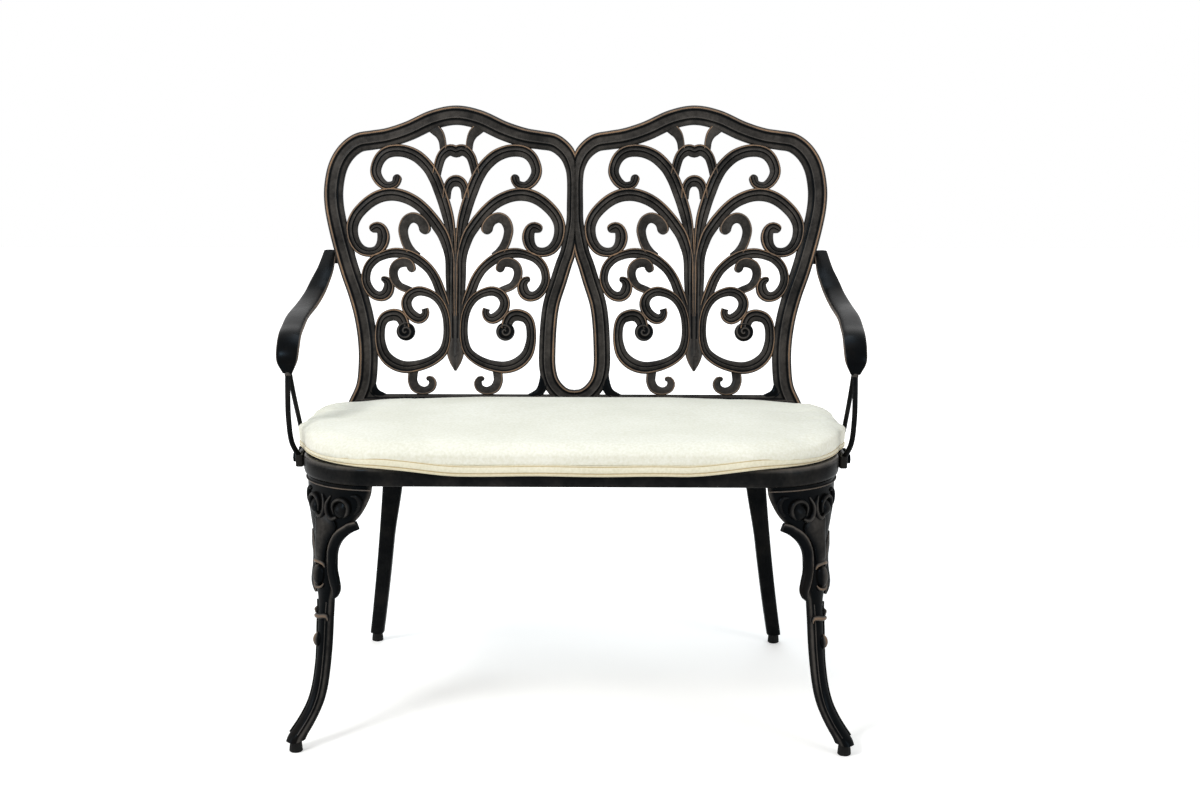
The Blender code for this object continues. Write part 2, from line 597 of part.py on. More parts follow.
def curled(path, bud):
    """A scroll's path in metres, with a rounded bud at its end."""
    last = len(path) - 1
    made = []
    for i, (x, y, z, wide) in enumerate(path):
        if bud and i == last - 1:
            wide *= 1.06
        if bud and i == last:
            wide *= 0.62
        made.append((x, y, z, wide))
    return made


def make_back():
    """The back panel in its own plane: two framed ovals of scrolls, the rail and the lugs."""
    scroll_profile = strap_section(SCROLL_THICKNESS, 0.009)
    frame_profile = frame_section()
    straps = []
    for oval in (-1, 1):
        for side in (-1, 1):
            for name, points in SCROLLS.items():
                flat = [(*oval_point(oval, side, across, up), 0.0, wide / 1000) for across, up, wide in points]
                path = curled(smooth(flat, 31, 0.05), name not in NO_BUD)
                straps.append(sweep(name, path, scroll_profile))
            eye = oval_point(oval, side, *SPIRAL_EYE)
            straps.append(dome("eye", eye, SPIRAL_EYE_RADIUS, SCROLL_THICKNESS))
        for points in ARCHES.values():
            half, other = ([(*oval_point(oval, side, across, up), 0.0, wide / 1000) for across, up, wide in points]
                           for side in (1, -1))
            straps.append(sweep("arch", smooth(half + other[-2::-1], 32, 0.05), scroll_profile))
        for rib in (STEM, LEAF):
            path = [(*oval_point(oval, 1, across, up), 0.0, wide / 1000) for across, up, wide in rib]
            straps.append(sweep("rib", path, scroll_profile))
        straps.append(sweep("frame", frame_path(oval), frame_profile))
    post_profile = strap_section(POST_THICKNESS, POST[2][1] / 1000)
    line = [(0.0, up / 100 * OVAL_HEIGHT, 0.0, wide / 1000) for up, wide in POST]
    straps.append(sweep("post", line, post_profile))
    bpy.data.objects.remove(post_profile, do_unlink=True)
    end = OVAL_SPACING / 2 + FRAME_OUTER_FOOT[-1][0] / 100 * OVAL_HALF_WIDTH
    rail_scale = RAIL_HALF_WIDTH
    rail = sweep("rail", [(-end, -RAIL_HALF_WIDTH / 2, 0, rail_scale), (end, -RAIL_HALF_WIDTH / 2, 0, rail_scale)],
                 frame_profile)
    bpy.data.objects.remove(scroll_profile, do_unlink=True)
    bpy.data.objects.remove(frame_profile, do_unlink=True)
    to_panel = PANEL.inverted()
    near = SEAT_BACK + FIT_GAP
    for x in lug_places():
        lug = box("lug", (x - LUG_WIDTH / 2, near, RIM_BOTTOM),
                  (x + LUG_WIDTH / 2, near + LUG_THICKNESS, SEAT_TOP + RAIL_TOP - RAIL_HALF_WIDTH / 2))
        straps.append(moved(lug, to_panel))
    back = boolean(rail, straps, "UNION")
    level = arm_bolt_height()
    holes = []
    for x in lug_places():
        hole = rod("hole", (x, SEAT_BACK - RIM_WALL, level), (x, near + 3 * LUG_THICKNESS, level), HOLE_RADIUS, 8)
        holes.append(moved(hole, to_panel))
    for side in (-1, 1):
        x, y = tab_middle(side)
        rear = -FRAME_THICKNESS / 2
        holes.append(rod("hole", (x, y, 2 * rear), (x, y, rear + BOLT_GRIP + 2 * FIT_GAP), HOLE_RADIUS, 8))
    return finish(boolean(back, holes, "DIFFERENCE"), "back_panel", PAINT, PANEL)


def dome(name, place, radius, thickness):
    """A low button at a place on the panel."""
    half = thickness / 2
    made = lathe(name, ((0, -half), (radius * 0.9, -half), (radius, 0.1 * thickness), (radius * 0.6, half * 0.85),
                        (0, half)), 12)
    return moved(made, Matrix.Translation((*place, 0)))


def frame_path(oval):
    """The frame's middle line from its outer foot, over the crest, down to the bench's middle under the teardrop."""
    outer = [oval_point(oval, oval, *point) for point in FRAME_SIDE + FRAME_OUTER_FOOT]
    line = [(x, y, 0.0, FRAME_HALF_WIDTH) for x, y in outer[:0:-1]]
    for across, up, wide in SHARED_SIDE:
        line.append((*oval_point(oval, -oval, across, up), 0.0, wide / 1000))
    return smooth(line, 18, 0.06)


def tab_middle(side):
    """Where an arm's tab is bolted to the back panel's outer post, in the panel's plane."""
    up = 100 * ARM_TAB_UP / OVAL_HEIGHT
    rows = FRAME_SIDE
    for (a0, u0), (a1, u1) in zip(rows, rows[1:]):
        if u1 <= up <= u0:
            across = a0 + (a1 - a0) * (up - u0) / (u1 - u0)
    return oval_point(side, side, across, up)


def by_seat(row):
    """A place near the left arm's foot from its distances to the rim's side, rear face and top."""
    return -SEAT_WIDTH / 2 - row[0], SEAT_BACK + row[1], SEAT_TOP + row[2]


def make_arm():
    """The left arm: a rolled strap on two struts, a foot plate on the rim and a tab behind the back's post."""
    # The strap is drawn with its side view in the XY plane, so that its width stays level.
    side_view = Matrix(((0, 0, -1, 0), (1, 0, 0, 0), (0, 1, 0, 0), (0, 0, 0, 1)))
    flat = ARM_THICKNESS / 2 / ARM_HALF_WIDTH
    profile = section(((-flat, -0.7), (-flat, 0.7), (-0.1 * flat, 1.0), (flat * 0.6, 0.75), (flat, 0.0),
                       (flat * 0.6, -0.75), (-0.1 * flat, -1.0)))
    across, up = tab_middle(-1)
    rear = -FRAME_THICKNESS / 2 - FIT_GAP
    middle = PANEL @ Vector((across, up, rear - ARM_TAB_WALL / 2))
    root = (middle.x - ARM_ROOT[0], middle.y + ARM_ROOT[1], middle.z + ARM_ROOT[2])
    rows = [(*root, ARM_ROOT[3])] + [(*by_seat(row), row[3]) for row in ARM_PATH]
    line = [(y, z, -x, share * ARM_HALF_WIDTH) for x, y, z, share in rows]
    strap = sweep("strap", smooth(line, 16, 0.06), profile)
    bpy.data.objects.remove(profile, do_unlink=True)
    parts = []
    for strut in (FRONT_STRUT, REAR_STRUT):
        line = smooth([(y, z, -x, 1.0) for x, y, z in map(by_seat, strut)], 14, 0.05)
        parts.append(sweep("strut", line, None, STRUT_RADIUS))
    arm = moved(strap, side_view)
    parts = [moved(part, side_view) for part in parts]
    near = -SEAT_WIDTH / 2 - FIT_GAP
    level = arm_bolt_height()
    ends = (min(ARM_BOLTS) - ARM_FOOT_END, max(ARM_BOLTS) + ARM_FOOT_END)
    parts.append(box("foot", (near - ARM_FOOT_WALL, ends[0], level - ARM_FOOT_HEIGHT / 2),
                     (near, ends[1], level + ARM_FOOT_HEIGHT / 2)))
    neck = across - ARM_ROOT[0] - ARM_TAB_NECK
    half = ARM_TAB_HALF
    outline = ((neck, up - ARM_TAB_NECK), (across - half * 0.5, up - half), (across + half * 0.5, up - half),
               (across + ARM_TAB_REACH, up - half * 0.5), (across + ARM_TAB_REACH, up + half * 0.5),
               (across + half * 0.5, up + half), (across - half * 0.5, up + half), (neck, up + ARM_TAB_NECK))
    tab = plate("tab", [outline], rear - ARM_TAB_WALL, rear)
    parts.append(moved(tab, PANEL))
    arm = boolean(arm, parts, "UNION")
    reach = 3 * ARM_FOOT_WALL
    holes = [rod("hole", (near - reach, y, level), (near + reach, y, level), HOLE_RADIUS, 8) for y in ARM_BOLTS]
    drill = rod("hole", (across, up, rear - 4 * ARM_TAB_WALL), (across, up, rear + ARM_TAB_WALL), HOLE_RADIUS, 8)
    holes.append(moved(drill, PANEL))
    return boolean(arm, holes, "DIFFERENCE")


def leg_row(share):
    """Half width, outset and depth of the front leg at a share of its height."""
    for high, low in zip(FRONT_LEG, FRONT_LEG[1:]):
        if low[0] <= share <= high[0]:
            t = (share - low[0]) / (high[0] - low[0])
            return [a + (b - a) * t for a, b in zip(low[1:], high[1:])]
    return FRONT_LEG[-1][1:]


def heel_share(share):
    """Width of the front leg's back over its face, at a share of its height."""
    return HEEL_LOW + (HEEL_TOP - HEEL_LOW) * min(max((share - HEEL_TURN) / (1 - HEEL_TURN) * 2, 0.0), 1.0)


def leg_skin(share, distance, lift):
    """A point on the face of the left front leg, at a distance along the rim from its middle plane."""
    half, outset, depth = leg_row(share)
    bulge = LEG_CROWN * max(0.0, 1 - (distance / half) ** 2)
    base = rim_point(distance, 0) + CORNER_OUT * (outset + lift + bulge)
    return Vector((base.x, base.y, FOOT_HEIGHT + share * LEG_HEIGHT))


def make_front_leg():
    """The left front leg: a knee that follows the rim, two edge rolls, beads and a bolting flange."""
    rings = []
    for share, half, outset, depth in FRONT_LEG:
        face = [leg_skin(share, half * k / 3, 0.0) for k in range(-3, 4)]
        heel = []
        for k in range(2, -3, -1):
            back = rim_point(half * heel_share(share) * k / 2, -depth) + CORNER_OUT * outset
            heel.append(Vector((back.x, back.y, FOOT_HEIGHT + share * LEG_HEIGHT)))
        rings.append(face + heel)
    leg = loft("leg", rings)
    parts = []
    for side in (-1, 1):
        line = [(*leg_skin(share, side * distance, -KNEE_ROLL_SINK), 1.0)
                for share, distance in KNEE_ROLL]
        parts.append(sweep("roll", smooth(line, 22, 0.05), None, KNEE_ROLL_RADIUS))
    for share, radius in LEG_BEADS:
        shell = bmesh.new()
        bmesh.ops.create_uvsphere(shell, u_segments=7, v_segments=4, radius=radius)
        bead = from_bmesh("bead", shell)
        parts.append(moved(bead, Matrix.Translation(leg_skin(share, 0.0, -radius * 0.45))))
    inner = FRONT_BOLT_INSET + BOSS_DIAMETER / 2 + FLANGE_MARGIN
    flange = []
    for back, wide in ((FLANGE_START, FLANGE_HALF_WIDTH), (inner - FLANGE_CORNER, FLANGE_HALF_WIDTH - FLANGE_CORNER / 3),
                       (inner, FLANGE_TIP_HALF_WIDTH)):
        for side in (-1, 1):
            flange.append(rim_point(0, -back) + CORNER_ALONG * side * wide)
    outline = [flange[i] for i in (0, 1, 3, 5, 4, 2)]
    parts.append(plate("flange", [[tuple(p) for p in outline]], LEG_TOP - FLANGE_THICKNESS, LEG_TOP))
    leg = boolean(leg, parts, "UNION")
    low = LEG_TOP - 5 * FLANGE_THICKNESS
    holes = [rod("hole", (*place, low), (*place, LEG_TOP + FLANGE_THICKNESS), HOLE_RADIUS, 8)
             for place in leg_bolts()[:2]]
    holes += [rod("seat", (*place, low), (*place, LEG_TOP - FLANGE_THICKNESS), WASHER_RADIUS + HOLE_CLEARANCE, 12)
              for place in leg_bolts()[:2]]
    foot = front_foot()
    holes.append(stud_bore(foot))
    return boolean(leg, holes, "DIFFERENCE")


def front_foot():
    """Middle of the left front leg's end, in plan."""
    half, outset, depth = FRONT_LEG[-1][1:]
    return rim_point(0, 0) + CORNER_OUT * (outset - (depth - LEG_CROWN) / 2)


def stud_bore(foot):
    """Cutter for the bore that a levelling stud screws into."""
    top = FOOT_HEIGHT + FIT_GAP + STUD_LENGTH - STUD_IN_PAD + BORE_SPARE
    return rod("bore", (*foot, FOOT_HEIGHT / 2), (*foot, top), STUD_RADIUS + BORE_CLEARANCE, 8)


def make_rear_leg():
    """The left rear leg: a plain swept leg with a bolting flange."""
    rings = []
    for k in range(9):
        t = k / 8
        sweep_share = REAR_LEG_BOW * t + (1 - REAR_LEG_BOW) * t * t
        x = -REAR_LEG_TOP_X + (REAR_LEG_TOP_X - REAR_FOOT_X) * (0.6 * t + 0.4 * t * t)
        y = REAR_LEG_TOP_Y + (REAR_FOOT_Y - REAR_LEG_TOP_Y) * sweep_share
        z = LEG_TOP - LEG_HEIGHT * t
        wide = REAR_LEG_WIDTH / 2 * (1 + REAR_LEG_TAPER_X * (0.5 - t))
        deep = REAR_LEG_DEPTH / 2 * (1 + REAR_LEG_TAPER_Y * (0.5 - t))
        ring = [(wide, deep * 0.5), (wide * 0.5, deep), (-wide * 0.5, deep), (-wide, deep * 0.5), (-wide, -deep * 0.5),
                (-wide * 0.5, -deep), (wide * 0.5, -deep), (wide, -deep * 0.5)]
        rings.append([Vector((x + px, y + py, z)) for px, py in ring])
    leg = loft("leg", rings)
    reach = REAR_BOLT_SPREAD + BOSS_DIAMETER / 2
    deep = BOSS_DIAMETER / 2
    end = reach - REAR_FLANGE_CORNER
    ends = [(reach, deep * 0.6), (end, deep), (-end, deep), (-reach, deep * 0.6),
            (-reach, -deep * 0.6), (-end, -deep), (end, -deep), (reach, -deep * 0.6)]
    outline = [(-REAR_LEG_TOP_X + px, REAR_LEG_TOP_Y + py) for px, py in ends]
    leg = boolean(leg, [plate("flange", [outline], LEG_TOP - FLANGE_THICKNESS, LEG_TOP)], "UNION")
    low = LEG_TOP - 5 * FLANGE_THICKNESS
    holes = [rod("hole", (*place, low), (*place, LEG_TOP + FLANGE_THICKNESS), HOLE_RADIUS, 8)
             for place in leg_bolts()[2:]]
    holes.append(stud_bore(Vector((-REAR_FOOT_X, REAR_FOOT_Y))))
    return boolean(leg, holes, "DIFFERENCE")


def bolt_shape(name, length):
    """A hexagon bolt along Z, with the underside of its head at the origin and its shank upwards."""
    head = HEAD_ACROSS / math.sqrt(3)
    rings = []
    for radius, height in ((head, -HEAD_HEIGHT), (head, 0.0), (BOLT_RADIUS, 0.0), (BOLT_RADIUS, length)):
        turns = [math.pi / 3 * k for k in range(6)]
        rings.append([Vector((radius * math.cos(a), radius * math.sin(a), height)) for a in turns])
    return loft(name, rings)


def washer_shape(name):
    """A flat washer on Z, from the origin upwards."""
    return lathe(name, ((HOLE_RADIUS, 0), (WASHER_RADIUS, 0), (WASHER_RADIUS, WASHER_THICKNESS),
                        (HOLE_RADIUS, WASHER_THICKNESS)), 8)


def add_bolt(name, seat, way, hold):
    """A bolt and its washer on a seat point, driven along a direction through a wall of the given thickness."""
    turn = Vector(way).to_track_quat("Z", "Y").to_matrix().to_4x4()
    place = Matrix.Translation(seat) @ turn
    length = STACK + hold + FIT_GAP + BOLT_GRIP - FIT_GAP
    bolt = bolt_shape("bolt", length)
    finish(bolt, name, ZINC, place @ Matrix.Translation((0, 0, -STACK)))
    washer = washer_shape("washer")
    finish(washer, name.replace("bolt", "washer"), ZINC, place @ Matrix.Translation((0, 0, -STACK + FIT_GAP)))


def make_fasteners():
    """All the bolts and washers."""
    names = ("front", "front", "rear", "rear")
    for number, place in enumerate(leg_bolts()):
        for label, side in (("left", 1), ("right", -1)):
            seat = (side * place.x, place.y, LEG_TOP - FLANGE_THICKNESS)
            add_bolt(f"leg_bolt_{names[number]}_{label}_{number % 2 + 1}", seat, (0, 0, 1), FLANGE_THICKNESS)
    level = arm_bolt_height()
    for number, x in enumerate(lug_places()):
        seat = (x, SEAT_BACK + FIT_GAP + LUG_THICKNESS, level)
        add_bolt(f"back_bolt_{number + 1}", seat, (0, -1, 0), LUG_THICKNESS)
    for number, y in enumerate(ARM_BOLTS):
        for label, side in (("left", 1), ("right", -1)):
            seat = (-side * (SEAT_WIDTH / 2 + FIT_GAP + ARM_FOOT_WALL), y, level)
            add_bolt(f"arm_bolt_{label}_{number + 1}", seat, (side, 0, 0), ARM_FOOT_WALL)
    way = PANEL.to_3x3() @ Vector((0, 0, 1))
    for label, side in (("left", -1), ("right", 1)):
        x, y = tab_middle(side)
        seat = PANEL @ Vector((x, y, -FRAME_THICKNESS / 2 - FIT_GAP - ARM_TAB_WALL))
        add_bolt(f"arm_bolt_{label}_3", seat, way, ARM_TAB_WALL)


def make_levellers():
    """The four levelling feet, each a nylon pad on a threaded stud, with the origin on its axis at the floor."""
    front = front_foot()
    rear = Vector((-REAR_FOOT_X, REAR_FOOT_Y))
    top = FOOT_HEIGHT - FIT_GAP
    socket = top - STUD_IN_PAD
    hole = STUD_RADIUS + BORE_CLEARANCE
    for end, foot in (("front", front), ("rear", rear)):
        for label, side in (("left", 1), ("right", -1)):
            place = Matrix.Translation((side * foot.x, foot.y, 0))
            pad = lathe("pad", ((0, 0), (PAD_RADIUS - PAD_EDGE, 0), (PAD_RADIUS, PAD_EDGE),
                                (PAD_TOP_RADIUS, top - PAD_EDGE), (PAD_TOP_RADIUS - PAD_EDGE, top), (hole, top),
                                (hole, socket), (0, socket)), 12)
            finish(pad, f"leveller_pad_{end}_{label}", BLACK, place)
            low = socket + FIT_GAP
            stud = rod("stud", (0, 0, low), (0, 0, low + STUD_LENGTH), STUD_RADIUS, 8)
            finish(stud, f"leveller_stud_{end}_{label}", ZINC, place)


def make_cushion():
    """The loose cushion: a crowned top, sides drawn in between two seams and a flat bottom."""
    middle = CUSHION_FRONT + CUSHION_DEPTH / 2

    def ring(inset, height):
        outline = corner_outline(CUSHION_WIDTH, CUSHION_FRONT - middle, CUSHION_DEPTH,
                                 (CUSHION_FRONT_CORNER_X, CUSHION_FRONT_CORNER_Y),
                                 (CUSHION_REAR_CORNER_X, CUSHION_REAR_CORNER_Y), inset, 4)
        return [Vector((x, y, height)) for x, y in outline]

    def shrunk(share, height):
        return [Vector((p.x * share, p.y * share, height)) for p in ring(0, 0)]

    top = CUSHION_EDGE
    rings = [shrunk(0.55, 0.0), ring(0.034, 0.0), ring(0.012, 0.001), ring(0.002, 0.008), ring(CUSHION_PINCH, top / 2),
             ring(0.0, top - 0.006), ring(0.004, top - 0.001), ring(0.035, top + 0.35 * CUSHION_CROWN),
             shrunk(0.62, top + 0.85 * CUSHION_CROWN), shrunk(0.3, top + CUSHION_CROWN)]
    cage = loft("cushion", rings)
    round_off = cage.modifiers.new("round", "SUBSURF")
    round_off.levels = 1
    round_off.render_levels = 1
    place = Matrix.Translation((0, middle, DECK_TOP + FIT_GAP))
    finish(settle(cage), "seat_cushion", CLOTH, place)


for old in list(bpy.data.objects):
    bpy.data.objects.remove(old, do_unlink=True)
BENCH = new_collection("cast_aluminium_bench")
WORK = new_collection("cutters")
PAINT = make_material("bronze_paint", BRONZE, 0.45, 0.6)
ZINC = make_material("zinc_steel", STEEL, 0.35, 1.0)
BLACK = make_material("black_nylon", NYLON, 0.6, 0.0)
CLOTH = make_material("ivory_cloth", IVORY, 0.9, 0.0)

make_seat()
make_back()
for piece, maker in (("arm", make_arm), ("front_leg", make_front_leg), ("rear_leg", make_rear_leg)):
    left = maker()
    right = mirrored(left, piece)
    finish(left, piece + "_left", PAINT, Matrix())
    finish(right, piece + "_right", PAINT, Matrix())
make_fasteners()
make_levellers()
make_cushion()
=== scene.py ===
"""Looks of a cast aluminium patio bench: bronze-black castings with rubbed edges and a loose ivory cushion.

Metres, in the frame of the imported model: +Z up, a sitter faces -Y, and +X is on the right in a front view.
"""

import math

import bmesh
import bpy
import numpy as np
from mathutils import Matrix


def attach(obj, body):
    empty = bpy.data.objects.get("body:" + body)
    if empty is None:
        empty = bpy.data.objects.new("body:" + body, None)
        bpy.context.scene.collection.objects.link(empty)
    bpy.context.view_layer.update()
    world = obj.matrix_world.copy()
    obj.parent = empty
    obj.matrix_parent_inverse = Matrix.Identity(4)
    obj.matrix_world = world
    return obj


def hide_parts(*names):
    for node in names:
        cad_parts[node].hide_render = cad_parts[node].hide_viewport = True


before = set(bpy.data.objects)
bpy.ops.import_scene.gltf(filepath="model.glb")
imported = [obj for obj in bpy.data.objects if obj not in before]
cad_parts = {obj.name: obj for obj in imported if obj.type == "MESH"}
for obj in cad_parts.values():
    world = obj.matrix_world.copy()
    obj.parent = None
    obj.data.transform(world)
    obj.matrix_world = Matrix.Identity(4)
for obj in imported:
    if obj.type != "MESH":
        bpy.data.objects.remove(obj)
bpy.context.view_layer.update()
scene = bpy.context.scene

PLAY = 0.0003  # left between castings that meet

# Seat. A plan is a half width, a front, a back, and the half axes of the front and rear corners.
SEAT_TOP = 0.420
SEAT_WIDTH = 0.790
SEAT_DEPTH = 0.437
SEAT_FRONT = -0.266
SEAT_BACK = SEAT_FRONT + SEAT_DEPTH
FRONT_CORNER = (0.120, 0.130)
SEAT_PLAN = (SEAT_WIDTH / 2, SEAT_FRONT, SEAT_BACK, FRONT_CORNER, (0.085, 0.110))
RIM_HEIGHT = 0.027
RIM_WALL = 0.014
RIM_BOTTOM = SEAT_TOP - RIM_HEIGHT
# Section of the rim: in from its plan, down from its top, and rub. The rub on its top edge is wear, and the low rub
# down its front face is a painted reflection that lightens the band.
RIM_FACE = (
    (0, 0.0060, 0.08), (0.0010, 0.0025, 0.2), (0.0032, 0.0006, 0.35), (0.0060, 0, 0.1), (0.0135, 0, 0.1),
    (0.0137, 0.0010, 0), (RIM_WALL, 0.0030, 0), (RIM_WALL, 0.0240, 0), (0.0125, RIM_HEIGHT, 0),
    (0.0060, RIM_HEIGHT, 0.05), (0.0032, 0.0266, 0.08), (0.0012, 0.0250, 0.10), (0, 0.0210, 0.08), (0, 0.0130, 0.07))
DECK_THICKNESS = 0.007
DECK_TOP = SEAT_TOP - 0.0002
LATTICE = (0.116, 0.084)
LATTICE_BAR = 0.013
LATTICE_BORDER = 0.030
LATTICE_REACH = 9  # bars to either side of the middle
LATTICE_SHORTEST = 0.02
EDGE = 0.001  # bevel of deck, bars and bosses
BOSS_RADIUS = 0.012
BOSS_HEIGHT = 0.021

# Back
RECLINE = math.radians(10)
RAIL_PLACE = (SEAT_BACK + 0.013, SEAT_TOP + 0.026)
RAIL_HALF = 0.0135
OVAL_SPACING = 0.397
OVAL_HALF = 0.2025
OVAL_HEIGHT = 0.472
FRAME_WALL = 0.018
SCROLL_WALL = 0.014
LUG_WIDTH = 0.040
LUG_WALL = 0.008
LUG_PLACES = (-0.290, -0.105, 0.105, 0.290)
FACE_RISE = 0.030  # length over which a scroll's face rises from its root
FACE_LOW = 0.45  # share of its height at the root and at the tip
FACE_PAINTED_SHEEN = 0.17  # least rub of a face between its ridges: a painted sheen that lightens its flats to grey
STEM_RUB = 0.28  # most rub on the stem

# Scrolls of one half oval: per cent of its half width out from its axis, per cent of its height up from the rail, and
# half width in millimetres. Each runs from its root to its curl.
SCROLLS = {
    "crown": (
        (1.6, 46, 4), (3, 54, 6.6), (4.6, 60, 8.6), (6.7, 64.4, 10), (10.1, 69.5, 10.4), (13.5, 73.6, 10.6),
        (17.2, 77.5, 10.6), (22.9, 81.6, 10.5), (31.5, 85.2, 10.6), (41, 87.1, 10.4), (50.1, 87.5, 10.2),
        (57.3, 86.8, 10), (62.6, 84.9, 9.7), (65.8, 82, 9.3), (66.2, 79.3, 9.2), (63.1, 76.7, 8.6),
        (58.5, 75.1, 7.6), (54, 75, 7), (49.8, 76, 7), (47.8, 79, 7)),
    "shoulder": (
        (2.4, 25, 4.5), (3.6, 33, 7), (4.3, 42, 8.3), (4.9, 50, 8.8), (9.4, 56.8, 10), (15.3, 61, 10.3),
        (20.6, 64, 10.1), (26.5, 66.8, 10), (33, 69.1, 10.2), (40.4, 70.8, 10.5), (48, 71.8, 10.8), (55.4, 72, 11),
        (63, 71.3, 10.8), (70.5, 69.6, 10.5), (77.5, 67, 10.2), (82.5, 64.3, 10), (85.4, 61.2, 9.8), (85.4, 58, 9.5),
        (83.5, 55.2, 9.3), (80, 53, 9), (75.5, 51.8, 8.4), (70.2, 51.5, 8), (65, 52.1, 8.6), (61.1, 54, 9.8),
        (59.6, 56.8, 10.6), (60.9, 59.3, 9.6), (64.2, 60.4, 8.5), (67.8, 59.9, 7.8), (70.3, 58.9, 7.5)),
    "inner_shoulder": (
        (31, 50, 6.5), (36.4, 51.7, 7.5), (40, 53.8, 7.8), (42.5, 56.6, 7.7), (43.5, 59.6, 8.2), (41.3, 62.3, 8.7),
        (37.5, 63.6, 8.8), (33.5, 63.7, 8.8), (29, 62.6, 8.9), (26, 60.6, 9.2), (24.8, 57.9, 9)),
    "waist": (
        (6.2, 30, 7), (9.6, 34.5, 8), (13.1, 38.4, 8.6), (16.5, 42, 8.4), (21.6, 45.4, 8.1), (28.7, 48.2, 8.5),
        (36, 50.1, 8.6), (43, 51, 8.5), (49.5, 51.3, 8.4), (55, 51, 7.7), (59.6, 50.4, 7.3), (64.5, 49.6, 7.5),
        (68.8, 48.2, 7.7), (72.5, 46, 7.4), (74.2, 43, 7.4), (73.6, 40.5, 7.6), (71, 38.2, 7.9), (67.5, 36.6, 8.2),
        (63.4, 35.9, 8.4), (59.4, 36.1, 9.2), (56.3, 37.3, 9.8), (55, 39.3, 9.2), (56.1, 41, 7.4), (58.8, 41.8, 5.6),
        (61.3, 41.5, 4.6)),
    "inner_waist": (
        (33, 37, 5.8), (38.9, 38.2, 6.3), (46.3, 39.6, 6.6), (50.4, 41.9, 7.4), (51.5, 44.7, 7.6), (49, 47, 8),
        (43.5, 48, 8.2), (38.9, 47.6, 7.6), (36.7, 46.2, 7), (36.5, 44.4, 6.8)),
    "base": (
        (25.4, 31.6, 6), (24.7, 30.1, 6.3), (26.4, 28.6, 7.5), (30.7, 28, 9), (36, 29.3, 9.2), (39.7, 31.5, 9),
        (40.6, 34, 8.8), (38.1, 36.2, 8.5), (34, 37.4, 8.2), (29.5, 37.8, 8.1), (24.5, 37.4, 7.6), (19.5, 36.5, 7),
        (14.5, 34.8, 6.8), (10.3, 32.1, 6.7), (7.6, 28.5, 6.7), (6.7, 24.2, 6.8), (7.2, 20.5, 7.2), (9.3, 17.2, 7.8),
        (13.2, 15, 8.3), (20, 13, 8.8), (28.3, 11.6, 9.3), (38.7, 10.8, 10.2), (46.5, 11.3, 10.5), (53, 12.7, 10.5),
        (58, 14.8, 10), (60.8, 17.3, 9.4), (62.4, 21, 8.4), (62, 25, 8.2), (60.2, 27.3, 8.8), (57, 28.7, 9.6),
        (51, 29.4, 10.2), (46, 28.8, 10.2), (43, 27, 9.5), (41.5, 24.5, 9)),
    "foot": (
        (34.4, 10, 8), (35.2, 7.8, 8), (35.2, 5.8, 8), (32.4, 3.5, 8.2), (26, 2.6, 6.6), (20.5, 3.4, 6.9),
        (18.6, 5.1, 6.8), (19.8, 6.5, 5.6), (22, 6.7, 4.8), (23.4, 6.3, 4.4)),
    "bracket": ((22, 97, 11), (17.5, 95, 9.5), (13.6, 93.2, 8), (11.4, 90.8, 6.4), (10.6, 88, 6)),
}
OPEN_ENDS = ("base", "bracket")
HOOKS = ("inner_shoulder", "inner_waist", "foot", "bracket")
# Straps across the oval's axis, one half of each, then the ribs on the axis and the button in a base scroll's curl.
ARCHES = {
    "heart": (
        (16.2, 79, 7.4), (14.6, 82.3, 7.8), (12.3, 85.2, 8.2), (8.4, 87.1, 9.2), (4.2, 87.7, 9.6), (0, 87.1, 9.8)),
    "keyhole": ((7.9, 70.5, 6.8), (7, 74, 7.4), (4.3, 76.1, 8.8), (0, 76.8, 9.8)),
}
STEM = ((0, 60, 5), (0, 52, 7.5), (0, 40, 9.5), (0, 30, 9.5), (0, 22, 8.5), (0, 15, 8))
LEAF = ((0, 21, 8), (0, 17.5, 13), (0, 15.3, 14), (0, 12.5, 9.5), (0, 10.3, 3.5), (0, 9.6, 1.5))
SPIRAL_EYE = (41, 23.5, 15.5)
SPIRAL_TURNS = 1.9
SPIRAL_HEIGHTS = (0.0015, 0.0042, 0.0011)  # of the button's rim, dome and ridge
SPIRAL_EDGE = 0.12  # share of its radius that is rounded, or plain at its middle
SPIRAL_RUB = 0.25
# The frame's middle line from the crest to its outer foot, and its half width in millimetres.
FRAME_HALF = 16
FRAME_SIDE = (
    (0, 100), (19, 98.4), (39, 94.5), (56, 92.1), (69, 91.2), (81, 90.2), (91, 86.8), (97.8, 81.6), (100.9, 74.8),
    (100.7, 68.5), (97.8, 61.5), (92.5, 52.5), (87, 44.5), (80.5, 36.5), (75.5, 28.5), (72.5, 20), (72, 12))
FRAME_FOOT = ((74, 4), (81, -3))
# Fillets from the frame into the rail: beside the outer foot and beside the teardrop.
FILLETS = (
    (1, ((71.3, 12, 5), (69.6, 5.6, 7.5), (66.2, 2, 7.5), (57.5, 0.4, 5))),
    (-1, ((73.3, 13, 5), (72.6, 6, 7.5), (69.2, 2.2, 7.5), (60.5, 0.4, 5))))
# The post between the ovals, and the frame towards the other oval and round the teardrop to the bench's middle.
POST = ((0, 85.5, 9), (0, 78, 13.6), (0, 69, 14), (0, 60, 13.6), (0, 51, 8))
SHARED_SIDE = tuple((*row, FRAME_HALF) for row in FRAME_SIDE[:4]) + (
    (69, 91.2, 15.5), (81, 90.2, 15), (90.5, 86.9, 14.2), (95.6, 82.5, 13.2), (97.4, 77.5, 12.5), (97.4, 68.5, 12.5),
    (96.8, 61.5, 12.5), (93, 52.5, 13.2), (88.6, 46.8, 13.8), (84.8, 41.5, 14), (79, 33.5, 14), (76.6, 26, 14),
    (75.6, 17, 14), (75.8, 11, 14), (78.5, 6, 14), (84.5, 2.4, 14), (91.5, 0.5, 14), (98.6, 0.1, 14))

